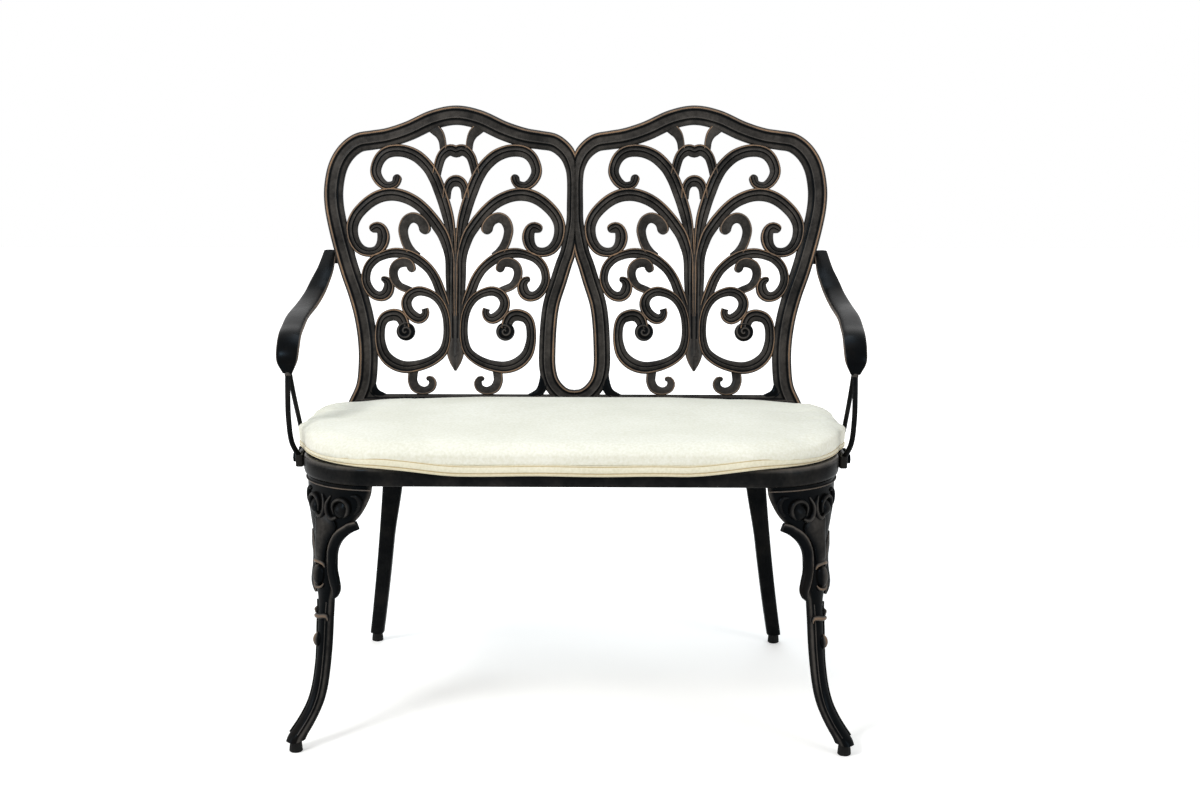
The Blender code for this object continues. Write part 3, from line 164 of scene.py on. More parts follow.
# Mouldings across a strap from its outer edge (1) to its inner edge (-1): share of the half width, millimetres over
# the panel's middle plane, and how far the paint is rubbed to bronze there, below nought in a groove.
FRAME_FACE = (
    (1, -1, 0), (0.99, 1.8, 0), (0.95, 4.2, 0), (0.88, 6.2, 0.05), (0.8, 7.4, 0.2), (0.74, 8, 0.85), (0.68, 8, 0.85),
    (0.61, 7.4, 0.2), (0.555, 6.4, -1), (0.5, 6, -1), (0.3, 6.6, 0), (0.05, 6.6, 0), (-0.15, 6.3, 0),
    (-0.21, 6.6, 0.05), (-0.26, 7.3, 0.2), (-0.31, 7.5, 0.3), (-0.36, 7.2, 0.15), (-0.4, 6.2, -1), (-0.45, 5.3, -1),
    (-0.65, 5.2, 0.1), (-0.84, 4.5, 0.12), (-0.94, 3.2, 0.15), (-0.985, 1.4, 0.05), (-1, -1, 0))
SCROLL_FACE = (
    (1, -1, 0), (0.985, 1.6, 0), (0.94, 3.8, 0.05), (0.87, 5.2, 0.25), (0.8, 6, 0.85), (0.73, 6.1, 0.85),
    (0.65, 5.6, 0.15), (0.58, 4.7, -1), (0.5, 4.4, -1), (0.3, 4.8, 0), (0.17, 4.9, 0.05), (0.11, 5.5, 0.15),
    (0.04, 5.9, 0.25), (-0.03, 5.7, 0.15), (-0.09, 4.9, -1), (-0.16, 3.8, -1), (-0.32, 4, 0.05), (-0.52, 4.1, 0.12),
    (-0.7, 3.9, 0.16), (-0.84, 3.2, 0.2), (-0.94, 2, 0.12), (-0.985, 0.8, 0), (-1, -1, 0))
HOOK_FACE = (
    (1, -1, 0), (0.985, 1.6, 0), (0.94, 3.8, 0.1), (0.87, 5.2, 0.35), (0.79, 5.9, 0.85), (0.72, 5.9, 0.6),
    (0.63, 5.3, 0.15), (0.56, 4.9, 0), (0.38, 5.2, 0.05), (0.12, 5.4, 0.1), (-0.15, 5.3, 0.12), (-0.42, 4.9, 0.12),
    (-0.65, 4.2, 0.14), (-0.83, 3.2, 0.18), (-0.94, 1.9, 0.15), (-0.985, 0.8, 0), (-1, -1, 0))
# These two down to the middle row: the leaf's, and what ribs have between the scroll's outer parts.
LEAF_FACE = (
    (1, -1, 0), (0.97, 1.8, 0.3), (0.86, 4.2, 0.5), (0.66, 5.9, 0.25), (0.45, 6.2, 0.1), (0.22, 5.2, 0), (0, 3.4, 0))
EVEN_MIDDLE = ((0.25, 4.6, 0), (0.12, 5.3, 0.15), (0, 5.8, 0.4))

# Arms: millimetres out from the rim's side, back from its rear face and up from its top, and share of the half width.
ARM_HALF = 0.0170
ARM_WALL = 0.010
ARM_CROWN = 0.28  # share of the wall that crowns the strap
ARM_RUB = (0.86, 0.14, 0.55)  # from what share of the half width, over what share, and how far
ARM_TAB_UP = 0.236
ARM_TAB_WALL = 0.007
ARM_TAB = ((-0.0345, -0.011), (0.014, 0.011))
ARM_ROOT = ((-0.0280, 0.001, 0.010), 0.60)  # from the tab's middle, in metres
ARM_PATH = (
    (16, 20, 241.5, 0.8), (20.5, -11, 223, 0.92), (24.5, -44, 207, 0.96), (27.5, -99, 194.5, 1),
    (27.5, -184, 186, 1), (24.5, -244, 177.5, 1), (21.5, -289, 170, 1), (20.5, -313, 154, 1), (20.5, -323, 136, 0.9),
    (20.5, -320, 118, 0.42))
STRUTS = (
    ((20.5, -317, 128), (20, -326, 85), (19.5, -327, 50), (16.5, -322, 15), (6.5, -310, -11)),
    ((20.5, -313, 128), (19.5, -281, 80), (19.5, -245, 40), (17, -228, 12), (6.5, -220, -11)))
STRUT_RADII = (0.0040, 0.0036)
ARM_TIP = ((0.0, 0.0010), (0.0015, 0.0036), (0.0050, 0.0046), (0.0085, 0.0036), (0.0100, 0.0010))
ARM_FOOT = (0.013, (-0.321, -0.209), 0.018)

# Front leg: per cent of its height, then half width along the rim, outset and depth in millimetres.
FOOT_HEIGHT = 0.016
LEG_TOP = RIM_BOTTOM - PLAY
LEG_HEIGHT = LEG_TOP - FOOT_HEIGHT
LEG_CROWN = 0.0035
LEG_HEEL = (0.65, 0.27, 0.7, 0.15)  # share of the half width, what the knee adds, from where and over what share
LEG_RUB = (0.88, 0.12, 0.3)
FRONT_LEG = (
    (100, 89, -6, 20), (95.5, 85, -6, 20), (89, 71, -5, 20), (84.5, 54, -5, 19), (79, 34, -4, 18),
    (73.5, 21, -3, 18), (67, 16.5, -3, 18), (59.5, 18.5, -2, 18), (53.5, 12.5, -2, 18), (46, 11, 0, 18),
    (34, 11, 4, 18), (22, 11.2, 11, 18), (14.5, 11.6, 20, 19), (9, 12.2, 33, 21), (4.5, 12.8, 48, 24),
    (2, 13.2, 57, 25), (0, 13.2, 61, 24))
# How much further out than half width each flank of the leg stands: per cent, rear flank, front flank.
LEG_SPREAD = ((0, 0, 0), (30, 0, 0), (42, 4.5, 0), (60, 5, 0), (75, 5, 0), (84, 1, 1), (90, -3.5, 2), (100, -3.5, 2))
# Carving on the leg's face: per cent of its height, then distance from its middle plane, half width, height and, if
# any, lift in millimetres.
KNEE_BAND = (
    (84.7, 62.5, 6.4, 5, -2), (83.1, 48.5, 7.4, 5.2, -2), (79.6, 31.8, 8.2, 5.4, -3), (75.1, 21.4, 7.8, 5.6, -4),
    (70.4, 17.6, 7.4, 5.8, -4), (65.9, 17.6, 7.4, 5.8, -4), (61.7, 22, 7.6, 5.6, -4), (59, 25.2, 6.4, 5.2, -4),
    (56.6, 23.6, 4.2, 4.2, -4), (55, 20.5, 2, 2, -3))
SHORT_BAND = (1.5, 1.5, -2)  # how the band on the rear flank starts
# A knee scroll: outer strap, ring, bulb and lobe, with their rub. The other one mirrors it about the knee's axis.
KNEE_AXIS = 13
KNEE_SCROLL = (
    (0.2, (
        (95.4, 22.2, 1.4, 1.2), (92.4, 16, 3, 4.6), (89.6, 15.8, 3.6, 5.4), (87.4, 20, 3.8, 5.8),
        (86.7, 26.8, 3.7, 5.8), (87.5, 33.5, 2.6, 4))),
    (0.16, (
        (88.6, 29, 1.6, 3), (91.41, 27.4, 2.6, 5), (93.47, 31.6, 3, 6.2), (94.5, 40.3, 3.3, 6.6),
        (93.8, 48.8, 3.6, 6.6), (91.7, 52.8, 3.8, 6.2), (89.25, 51, 3.6, 5.2), (87.56, 44.5, 2, 2.5))),
    (0.06, (
        (93.6, 40, 2.4, 0.8), (92.7, 40.2, 7, 2.2), (91.2, 40.4, 10.6, 5.2), (89.5, 40.4, 11.2, 6.6),
        (88, 39.8, 8.2, 5), (87.15, 39.4, 2.2, 1.2))),
    (0.09, (
        (96, 56.5, 1.8, 1.8), (95.9, 64.5, 3.6, 3.6), (94.02, 69.2, 4.4, 4.2), (91.31, 67.8, 4, 3.6),
        (89.08, 61.2, 1.8, 1.5))))
# Carving down the leg's middle, the shield first: rub, its sharpness, and the rows. The shield's broad, soft rub is
# partly wear and partly a painted highlight on its rounded face.
LEG_CARVING = (
    (0.16, 1.5, (
        (87.9, 12.5, 5, 0.8), (86.3, 11.5, 19, 3), (84.3, 10, 22.8, 4.8), (81.5, 7, 19, 6), (78.5, 4, 15, 6.6),
        (74.8, 1.5, 12.2, 6.8), (71.2, 0, 10.6, 6.2), (69.2, 0, 8.6, 4), (68.2, 0, 3, 1))),
    (0.65, 3, (
        (66.8, 9, 1.4, 1.6), (68.4, 6.5, 3.4, 5), (69, -2, 3.8, 6.6), (68.4, -10.5, 3.4, 5), (66.8, -13, 1.4, 1.6))),
    (0.2, 4, (
        (67.6, -2, 4, 3), (66.4, -2, 8, 8), (64, -2, 10.4, 10.4), (61.6, -2, 8.6, 9.2), (59.8, -2, 4.6, 5.6),
        (58.8, -2, 1.2, 1.5))),
    (0.65, 3, (
        (60.4, -11.5, 1, 1.5), (59.2, -8.5, 2.4, 5), (58.7, -2, 2.8, 6.8), (59.2, 4.5, 2.4, 5),
        (60.4, 7.5, 1, 1.5))),
    (0.7, 3, (
        (40.6, -4, 1, 1), (39.5, -4, 5.2, 5.2), (37.7, -4, 6.8, 7.2), (35.9, -4, 5, 5), (34.9, -4, 1, 1))),
    (0.65, 3, (
        (46.1, -16.5, 1.4, 1.4), (46.5, -10, 3.6, 4.4), (47.1, 0, 4.2, 5.6), (47.6, 8.5, 4.2, 5),
        (46.8, 13.2, 2.8, 3), (45.7, 12.5, 1.2, 1.2))),
    (0.65, 3, (
        (50.2, -10.5, 0.8, 0.8), (49.1, -10.8, 2.6, 4.2), (47.6, -9.5, 2.4, 3))))
# A vein under the rim and an arris down either edge of the shin: per cents, reach, half width and height.
TOP_VEIN = (98.6, 85, 1.2, 1.7)
ARRIS = ((53, 3), 0.80, 0.9, 1.1)
UPWARDS = math.pi / 2  # angle of a vein's crest

# Rear leg: middle at top and foot, half sizes and their taper, sweep as shares of t and t squared.
REAR_TOP = (0.295, SEAT_BACK - 0.043)
REAR_FOOT = (0.347, SEAT_BACK + 0.096)
REAR_HALF = (0.013, 0.012)
REAR_TAPER = (0.16, 0.12)
REAR_SWEEP = ((0.6, 0.4), (0.35, 0.65))
REAR_SHOULDER = (0.006, 0.18, 0.32)  # added on the inside, down to which share, and the length of its fade
REAR_FLANGE = 0.008
REAR_BOLT = 0.031
FRONT_BOLT = (0.044, 0.028)  # behind the rim's corner, and to either side

# Cushion
CUSHION_HALF = 0.4060
CUSHION_FRONT = -0.2740
CUSHION_BACK = 0.1500
CUSHION_PLAN = (CUSHION_HALF, CUSHION_FRONT, CUSHION_BACK, (0.165, 0.205), (0.112, 0.115))
CUSHION_BELLY = (0.0060, -0.098, 0.040)  # height, middle and half length of the sides' bulge between the rods
CUSHION_NOTCH = (0.004, -0.053, 0.012)  # depth, middle and width of the hem's dent by an arm's rear rod
CUSHION_HANG = 0.0105  # how far the front hem hangs over the rim
COVER_LOW = DECK_TOP + 0.0006
COVER_EASE = 0.0005  # how far the cover stays inside the hem
COVER_TUCK = (0.010, 0.0165, 0.003)  # share drawn in behind the hem, the hem's height and a fade
# In millimetres, in from the plan and up from the deck: rings of the cover before it is filled.
COVER_RINGS = ((200, 0), (80, 0), (22, 0), (10, 1), (3, 4.5), (2.5, 9.5), (4.5, 15), (4, 20), (9.5, 25), (22, 27.5),
               (80, 32), (140, 34.5), (200, 35))
VOXEL = 0.0056
FILL_FRAMES = 20
FILL_CAP = 0.008
FILLING = {"use_pressure": True, "uniform_pressure_force": 4.0, "tension_stiffness": 18.0,
           "compression_stiffness": 6.0, "bending_stiffness": 0.4}
ROD_REACH = (0.30, 0.10)  # from where along the bench, and over what length, the rods shape the sides
# Bulges of the ends: from where along the bench, over what length, level and spread in height.
END_BULGES = ((0.31, 0.06, 0.024, 0.012), (0.33, 0.05, 0.032, 0.007))
END_BULGE = 0.003
# The ends stand higher: how far, from where, over what length, from what level and over what height.
END_RISE = (0.0065, 0.33, 0.075, 0.014, 0.010)
TOP_LEVEL = (0.020, 0.012)  # from what level, and over what height, the cover counts as its top
REAR_EDGE = (-0.02, 0.14)  # from where and over what depth the rear edge is plumper
REAR_PLUMP = (0.0025, 0.0060, 0.15, 0.2)  # rise at its middle, what the ends lack, from where and over what length
# Creases: place, lean and depth.
CREASES = ((-0.005, 0.10, 0.0030), (0.052, -0.12, 0.0024), (-0.085, 0.20, 0.0022), (0.10, 0.05, 0.0014))
CREASE_WANDER = 0.004
CREASE_WIDTH = 0.010
CREASE_END = (0.24, 0.15, 0.33)  # from where, over what length, and where a crease is at its place
TOP_WAVE = 0.0012
HEM_LOW = DECK_TOP + 0.0008
HEM_WAVE = 0.0005
HEM_FRONT = (0.285, 0.13)  # as far out as this the hem hangs over the rim, and the length of its rise
HEM_TAPER = (0.25, 0.13, 0.5)  # from where, over what length, and by what share the hem gets lower
# Section of the hem in millimetres: out from the cushion's plan, up from its lower edge.
HEM_FACE = (
    (-6.4, 2), (-6, 0.3), (-3.6, -0.3), (-1.3, 0.4), (-0.3, 2.2), (-0.8, 3.8), (-1.6, 4.6), (-0.8, 5.5), (-0.1, 7.5),
    (0, 10), (-0.6, 12.5), (-2, 14.6), (-4.5, 15.6), (-6.4, 14), (-6.6, 8))


def spline(points, fine):
    """Catmull-Rom curve: each span is the cubic whose end slopes are half the chord between its neighbours."""
    p = np.asarray(points, float)
    ends = np.vstack([2 * p[:1] - p[1:2], p, 2 * p[-1:] - p[-2:-1]])
    a, b, c, d = (ends[k:len(ends) - 3 + k, None] for k in range(4))
    t = (np.arange(fine) / fine)[None, :, None]
    spans = 0.5 * (2 * b + (c - a) * t + (2 * a - 5 * b + 4 * c - d) * t ** 2 + (3 * b - a - 3 * c + d) * t ** 3)
    return np.vstack([spans.reshape(-1, p.shape[1]), p[-1:]])


def along(line, axes=3):
    """Arc lengths along a line: the running sum of its chords in its first coordinates."""
    return np.concatenate([[0.0], np.cumsum(np.linalg.norm(np.diff(line[:, :axes], axis=0), axis=1))])


def sample(line, places, axes=3):
    """The line's coordinates at given arc lengths."""
    run = along(line, axes)
    return np.stack([np.interp(places, run, column) for column in line.T], axis=1)


def even(line, step, axes=3):
    """The line at equal steps of about the given length."""
    total = along(line, axes)[-1]
    return sample(line, np.linspace(0, total, max(int(round(total / step)), 3) + 1), axes)


def path(points, step, axes=3, fine=24):
    """The curve through the points at equal steps."""
    return even(spline(points, fine), step, axes)


def pair(first, second):
    """Two coordinates as points."""
    return np.stack([first, second], axis=-1)


def unit(vectors):
    """Vectors of length one."""
    return vectors / np.maximum(np.linalg.norm(vectors, axis=-1, keepdims=True), 1e-12)


def share_of(value, start, reach):
    """How far a value has come from a start over a reach, from 0 to 1."""
    return np.clip((value - start) / reach, 0, 1)


def smooth(t):
    """A share that starts and ends level: 3 t squared less 2 t cubed."""
    return t * t * (3 - 2 * t)


def bell(value, middle, width):
    """A bell curve: e to the power of minus the square of the distance over the width."""
    return np.exp(-((value - middle) / width) ** 2)


def circle(sides):
    """Angles of a whole turn."""
    return np.linspace(0, 2 * math.pi, sides, endpoint=False)


def rounded(turn, power):
    """Superellipse: the cosine and sine of the turn, each raised to the power with its sign kept."""
    return [np.sign(wave) * np.abs(wave) ** power for wave in (np.cos(turn), np.sin(turn))]


def lifted(plan, height):
    """Points of a plan with a height each, or all at one."""
    return np.concatenate([plan, np.broadcast_to(height, plan.shape[:-1])[..., None]], axis=-1)


def swept(points, across, up, a, b):
    """Rings about points: a along the across axis and b along the up axis."""
    return points[:, None] + across[:, None] * a[..., None] + up[:, None] * b[..., None]


def outline(plan, inset, steps):
    """Straight sides between quarter ellipses, moved inwards along the ellipses' normals."""
    half, front, back, front_corner, rear_corner = plan
    points = []
    for number, (side, rear) in enumerate(((1, True), (-1, True), (-1, False), (1, False))):
        rx, ry = rear_corner if rear else front_corner
        angle = math.pi / 2 * (number + np.linspace(0, 1, steps))
        normal = unit(pair(np.cos(angle) / rx, np.sin(angle) / ry))
        middle = np.array((side * (half - rx), back - ry if rear else front + ry))
        points.append(middle + pair(rx * np.cos(angle), ry * np.sin(angle)) - normal * inset)
    return np.vstack(points)


def placed(name, data):
    """A new object in the scene."""
    made = bpy.data.objects.new(name, data)
    scene.collection.objects.link(made)
    return made


def paint(mesh, finish):
    """Gives a mesh one material."""
    mesh.materials.clear()
    mesh.materials.append(FINISHES[finish])


def cast_piece(name, shells, finish, body, *nodes):
    """One piece from closed shells, riding on a body and standing for the nodes. A shell is a grid of rings joined by
    quads. A fan to its mean point closes each end ring, or the last joins the first. Rub says how worn a point is;
    on some castings it also holds painted sheen, reflection and highlight, and on the cushion's hem the height up the
    hem, which paints its bands."""
    verts, rubs, quads, fans, base = [], [], [], [], 0
    for points, rub, loop in shells:
        n, m = points.shape[:2]
        index = base + np.arange(n * m).reshape(n, m)
        if loop:
            index = np.vstack([index, index[:1]])
        turned = np.roll(index, -1, axis=1)
        quads.append(np.stack([index[:-1], turned[:-1], turned[1:], index[1:]], axis=-1).reshape(-1, 4))
        verts.append(points.reshape(-1, 3))
        rubs.append(np.broadcast_to(rub, (n, m)).reshape(-1))
        base += n * m
        if not loop:
            for row in (0, -1):
                tip = np.full(m, base)
                fans.append(np.stack([index[row], turned[row], tip], axis=-1)[:, ::1 if row else -1])
                verts.append(points[row].mean(axis=0, keepdims=True))
                rubs.append(np.zeros(1))
                base += 1
    mesh = bpy.data.meshes.new(name)
    faces = np.vstack(quads).tolist() + (np.vstack(fans).tolist() if fans else [])
    mesh.from_pydata(np.vstack(verts).tolist(), [], faces)
    mesh.attributes.new("rub", "FLOAT", "POINT").data.foreach_set("value", np.concatenate(rubs).astype(np.float32))
    shell = bmesh.new()
    shell.from_mesh(mesh)
    bmesh.ops.recalc_face_normals(shell, faces=shell.faces)
    shell.to_mesh(mesh)
    shell.free()
    mesh.shade_smooth()
    mesh.set_sharp_from_angle(angle=math.radians(48))
    paint(mesh, finish)
    piece = placed(name, mesh)
    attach(piece, body)
    if nodes:
        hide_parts(*nodes)
    return piece


def flipped(shells):
    """The shells on the other side of the plane X = 0."""
    return [(points * np.array((-1.0, 1.0, 1.0)), rub, loop) for points, rub, loop in shells]


def on_panel(points):
    """Panel coordinates, across, up and to the front, turned back by the recline and set on the rail's place."""
    x, up, out = np.moveaxis(points, -1, 0)
    sine, cosine = math.sin(RECLINE), math.cos(RECLINE)
    return np.stack([x, RAIL_PLACE[0] + up * sine - out * cosine, RAIL_PLACE[1] + up * cosine + out * sine], axis=-1)


def oval(which, side, rows):
    """Rows of per cents and millimetres as metres on the panel, on one side of one oval's axis."""
    out, up, half = np.asarray(rows, float).T
    x = which * OVAL_SPACING / 2 + side * out / 100 * OVAL_HALF
    return np.column_stack([x, up / 100 * OVAL_HEIGHT, half / 1000])


def moulding(face, wall):
    """A strap's closed profile: the moulded face, with a painted sheen all over but for its grooves, then the flat
    back between slightly drawn-in corners."""
    rows = np.asarray(face, float)
    back = -wall / 2
    tail = np.array(((-0.97, back * 0.9, 0), (-0.90, back, 0), (-0.3, back, 0), (0.3, back, 0), (0.90, back, 0),
                     (0.97, back * 0.9, 0)))
    rows[:, 2] = np.where(rows[:, 2] < 0, 0.0, np.maximum(rows[:, 2], FACE_PAINTED_SHEEN * (rows[:, 1] > 2.5)))
    return np.vstack([rows * (1, 0.001, 1), tail])


def symmetrical(rows):
    """A face given down to its middle row, with its other half."""
    return [*rows, *((-s, h, r) for s, h, r in rows[-2::-1])]


FRAME_PROFILE = moulding(FRAME_FACE, FRAME_WALL)
SCROLL_PROFILE = moulding(SCROLL_FACE, SCROLL_WALL)
HOOK_PROFILE = moulding(HOOK_FACE, SCROLL_WALL)
LEAF_PROFILE = moulding(symmetrical(LEAF_FACE), SCROLL_WALL)
EVEN_PROFILE = moulding(symmetrical([row for row in SCROLL_FACE if row[0] >= 0.50] + [*EVEN_MIDDLE]), SCROLL_WALL)
STEM_PROFILE = np.minimum(EVEN_PROFILE, (1, 1, STEM_RUB))


def strap(line, profile, outer, ease=None):
    """A moulding carried along a line on the panel: point = line + across * half width * share + out * height. Across
    is the line's left or right normal, whichever side is the outer one, and ease lowers the face towards an end."""
    way = unit(np.gradient(line[:, :2], axis=0))
    across = pair(-way[:, 1], way[:, 0]) * outer
    shares = line[:, 2, None] * profile[None, :, 0]
    height = np.broadcast_to(profile[None, :, 1], shares.shape)
    if ease is not None:
        height = np.where(height > 0, height * ease[:, None], height)
    plan = line[:, None, :2] + across[:, None] * shares[..., None]
    return on_panel(lifted(plan, height)), profile[:, 2], False


def curl(rows, bud, step):
    """A scroll's line with its half widths. The face rises from its root, and a curl closes in a half circle: half
    width times the root of 1 - u squared, with u the share of the last half width."""
    line = spline(rows, 24)
    total = along(line, 2)[-1]
    tip = line[-1, 2] if bud else 0.0
    turn = np.sin(np.linspace(0, math.pi / 2, 9))[1:] if bud else np.zeros(0)
    body = total - tip
    places = np.concatenate([np.linspace(0, body, max(int(body / step), 6)), body + tip * turn])
    ease = FACE_LOW + (1 - FACE_LOW) * smooth(share_of(places, 0, FACE_RISE))
    made = sample(line, places, 2)
    if bud:
        shape = np.sqrt(np.maximum(1 - share_of(places, body, tip) ** 2, 0.0))
        made[:, 2] *= np.maximum(shape, 0.02) * (1 + 0.10 * bell(places, body, tip))
        ease = ease * (FACE_LOW + (1 - FACE_LOW) * shape)
    return made, ease


def turning(line):
    """1 where a line turns right on the whole, with its left side the outer one, and -1 where it turns left."""
    way = np.unwrap(np.arctan2(*np.gradient(line[:, :2], axis=0).T[::-1]))
    return 1.0 if way[-1] < way[0] else -1.0


def spiral_eye(x, y, radius, spin):
    """The button in a base scroll's curl. A disc whose height is a flat dome plus a ridge that winds inwards: the
    ridge's phase is the angle plus the radius over its pitch."""
    r, a = np.meshgrid(np.concatenate([[1.0, 1.0], np.linspace(0.98, 0.03, 26)]), circle(72), indexing="ij")
    wave = np.cos(spin * a + 2 * math.pi * r * SPIRAL_TURNS)
    edge = np.sqrt(np.clip((1 - r) / SPIRAL_EDGE, 0, 1))
    low, dome, ridge = SPIRAL_HEIGHTS
    height = low + (dome + ridge * wave * (r > SPIRAL_EDGE)) * edge
    height[0] = -SCROLL_WALL / 2
    points = np.stack([x + radius * r * np.cos(a), y + radius * r * np.sin(a), height], axis=-1)
    return on_panel(points), np.clip(wave, 0, 1) * SPIRAL_RUB * edge, False


def frame_line(which):
    """The frame's middle line from its outer foot over the crest and down to the bench's middle, with half widths."""
    outer = oval(which, which, [(*row, FRAME_HALF) for row in (FRAME_SIDE + FRAME_FOOT)[:0:-1]])
    return path(np.vstack([outer, oval(which, -which, SHARED_SIDE)]), 0.004, 2)


def brick(low, high, radius):
    """A box with round edges: rings of a superellipse of power 8, drawn in over the radius at both ends."""
    low, high = np.asarray(low, float), np.asarray(high, float)
    middle, half = (low + high) / 2, (high - low) / 2
    a, b = rounded(circle(40), 0.25)
    bend = np.linspace(0, math.pi / 2, 5)
    inset = np.concatenate([radius * (1 - np.sin(bend)), radius * (1 - np.sin(bend[::-1]))])[:, None]
    level = np.concatenate([-half[2] + radius * (1 - np.cos(bend)), half[2] - radius * (1 - np.cos(bend[::-1]))])
    x = middle[0] + (half[0] - inset) * a
    y = middle[1] + (half[1] - inset) * b
    return lifted(pair(x, y), middle[2] + level[:, None]), 0.1, False


def make_back():
    """The scrolls of the two ovals, and their frames. A frame stops at the bench's middle plane, where it meets the
    other one in a groove."""
    scrolls = []
    frames = []
    for which in (-1, 1):
        for side in (-1, 1):
            for name, rows in SCROLLS.items():
                line, ease = curl(oval(which, side, rows), name not in OPEN_ENDS, 0.003)
                scrolls.append(strap(line, HOOK_PROFILE if name in HOOKS else SCROLL_PROFILE, turning(line), ease))
            scrolls.append(spiral_eye(*oval(which, side, (SPIRAL_EYE,))[0], which * side))
        for rows in ARCHES.values():
            half, other = (oval(which, side, rows) for side in (1, -1))
            line = path(np.vstack([half, other[-2::-1]]), 0.0025, 2, 16)
            scrolls.append(strap(line, SCROLL_PROFILE, turning(line)))
        for rows, profile in ((STEM, STEM_PROFILE), (LEAF, LEAF_PROFILE)):
            scrolls.append(strap(path(oval(which, 1, rows), 0.003, 2, 16), profile, 1.0))
        for side, rows in FILLETS:
            line = path(oval(which, which * side, rows), 0.002, 2, 16)
            frames.append(strap(line, HOOK_PROFILE * (1, 0.9, 0), which * side))
        points, rub, loop = strap(frame_line(which), FRAME_PROFILE, -which)
        points[..., 0] = which * np.maximum(which * points[..., 0], 0.0001)
        frames.append((points, rub, loop))
    return scrolls, frames


def make_rails():
    """The post where the ovals meet, the bottom rail and its lugs."""
    shells = [strap(path(oval(0, 1, POST), 0.004, 2, 16), EVEN_PROFILE * (0.9, 0.8, 0), 1.0)]
    end = OVAL_SPACING / 2 + FRAME_FOOT[-1][0] / 100 * OVAL_HALF
    run = np.linspace(-end, end, 60)
    line = np.column_stack([run, np.full(60, -RAIL_HALF / 2), np.full(60, RAIL_HALF)])
    shells.append(strap(line, FRAME_PROFILE, -1.0))
    near = SEAT_BACK + PLAY
    for x in LUG_PLACES:
        shells.append(brick((x - LUG_WIDTH / 2, near, RIM_BOTTOM),
                            (x + LUG_WIDTH / 2, near + LUG_WALL, RAIL_PLACE[1] - RAIL_HALF / 2), 0.0015))
    return shells


def carried(line, profile, level):
    """A profile carried along a line in space. Its across axis is the level direction made square to the line, its up
    axis is square to both, and the line's last column scales it."""
    way = unit(np.gradient(line[:, :3], axis=0))
    across = unit(level - way * (way @ level)[:, None])
    size = line[:, 3, None]
    return swept(line[:, :3], across, np.cross(way, across), size * profile[:, 0], size * profile[:, 1])


def by_seat(rows):
    """Rows of distances from the rim's left side, rear face and top as places."""
    out, back, up = np.asarray(rows, float)[:, :3].T / 1000
    return np.column_stack([-SEAT_WIDTH / 2 - out, SEAT_BACK + back, SEAT_TOP + up])


def tab_middle():
    """Middle of the left arm's tab on the panel: across by the frame's side, up by its own height."""
    side = np.asarray(FRAME_SIDE, float)[::-1]
    across = np.interp(100 * ARM_TAB_UP / OVAL_HEIGHT, side[:, 1], side[:, 0])
    return -OVAL_SPACING / 2 - across / 100 * OVAL_HALF, ARM_TAB_UP


def make_arm():
    """The left arm: a strap with round edges and a low crown that rolls over at its tip, two rods, foot and tab."""
    across, up = tab_middle()
    rear = -FRAME_WALL / 2 - PLAY
    middle = on_panel(np.array((across, up, rear - ARM_TAB_WALL / 2)))
    rows = np.vstack([(*(middle + ARM_ROOT[0]), ARM_ROOT[1]), lifted(by_seat(ARM_PATH), np.array(ARM_PATH)[:, 3])])
    line = path(rows, 0.003)
    line[:, 3] *= ARM_HALF
    s, h = rounded(circle(44), 0.5)
    crown = np.where(h > 0, 1 - s ** 2, 0.3 * s ** 2 - 1)
    profile = pair(s, ARM_WALL / 2 / ARM_HALF * (h * (1 - ARM_CROWN) + ARM_CROWN * crown))
    level = np.array((1.0, 0.0, 0.0))
    start, reach, far = ARM_RUB
    shells = [(carried(line, profile, level), share_of(np.abs(s), start, reach) * far, False)]
    rod = np.column_stack(rounded(circle(22), 1.0))
    for strut, radius in zip(STRUTS, STRUT_RADII):
        shells.append((carried(path(lifted(by_seat(strut), radius), 0.003), rod, level), 0.06, False))
    down, wide = np.asarray(ARM_TIP).T
    tip = rows[-1, :3] + np.column_stack([np.zeros(5), 0.0010 - 0.1 * down, 0.0030 - down])
    shells.append((carried(path(lifted(tip, wide), 0.001, 3, 16), rod, level), 0.3, False))
    wall, ends, tall = ARM_FOOT
    near = -SEAT_WIDTH / 2 - PLAY
    bolt = RIM_BOTTOM + RIM_HEIGHT / 2
    shells.append(brick((near - wall, SEAT_BACK + ends[0], bolt - tall / 2),
                        (near, SEAT_BACK + ends[1], bolt + tall / 2), 0.002))
    low, high = np.add(ARM_TAB, (across, up))
    points, rub, loop = brick((*low, rear - ARM_TAB_WALL), (*high, rear), 0.0015)
    shells.append((on_panel(points), rub, loop))
    return shells


def rim_point(distance, outset):
    """A point by the left front corner of the rim: its ellipse at an angle of distance over mean radius, straight on
    beyond the corner, moved out along the ellipse's normal."""
    rx, ry = FRONT_CORNER
    reach = (rx + ry) / 2
    angle = np.clip(distance / reach, -math.pi / 4, math.pi / 4)
    beyond = distance - angle * reach
    turn = math.pi / 4 + angle
    normal = unit(pair(-np.cos(turn) / rx, -np.sin(turn) / ry))
    point = pair(-SEAT_WIDTH / 2 + rx * (1 - np.cos(turn)), SEAT_FRONT + ry * (1 - np.sin(turn)))
    tangent = pair(-normal[..., 1], normal[..., 0])
    return point + normal * np.asarray(outset)[..., None] + tangent * beyond[..., None]


CORNER_OUT = unit(rim_point(np.zeros(1), np.ones(1)) - rim_point(np.zeros(1), np.zeros(1)))[0]
LEG_ROWS = spline(FRONT_LEG, 24)[::-1] / (100, 1000, 1000, 1000)


def leg_size(share):
    """Half width, outset and depth of the front leg at shares of its height."""
    return [np.interp(share, LEG_ROWS[:, 0], LEG_ROWS[:, k]) for k in (1, 2, 3)]


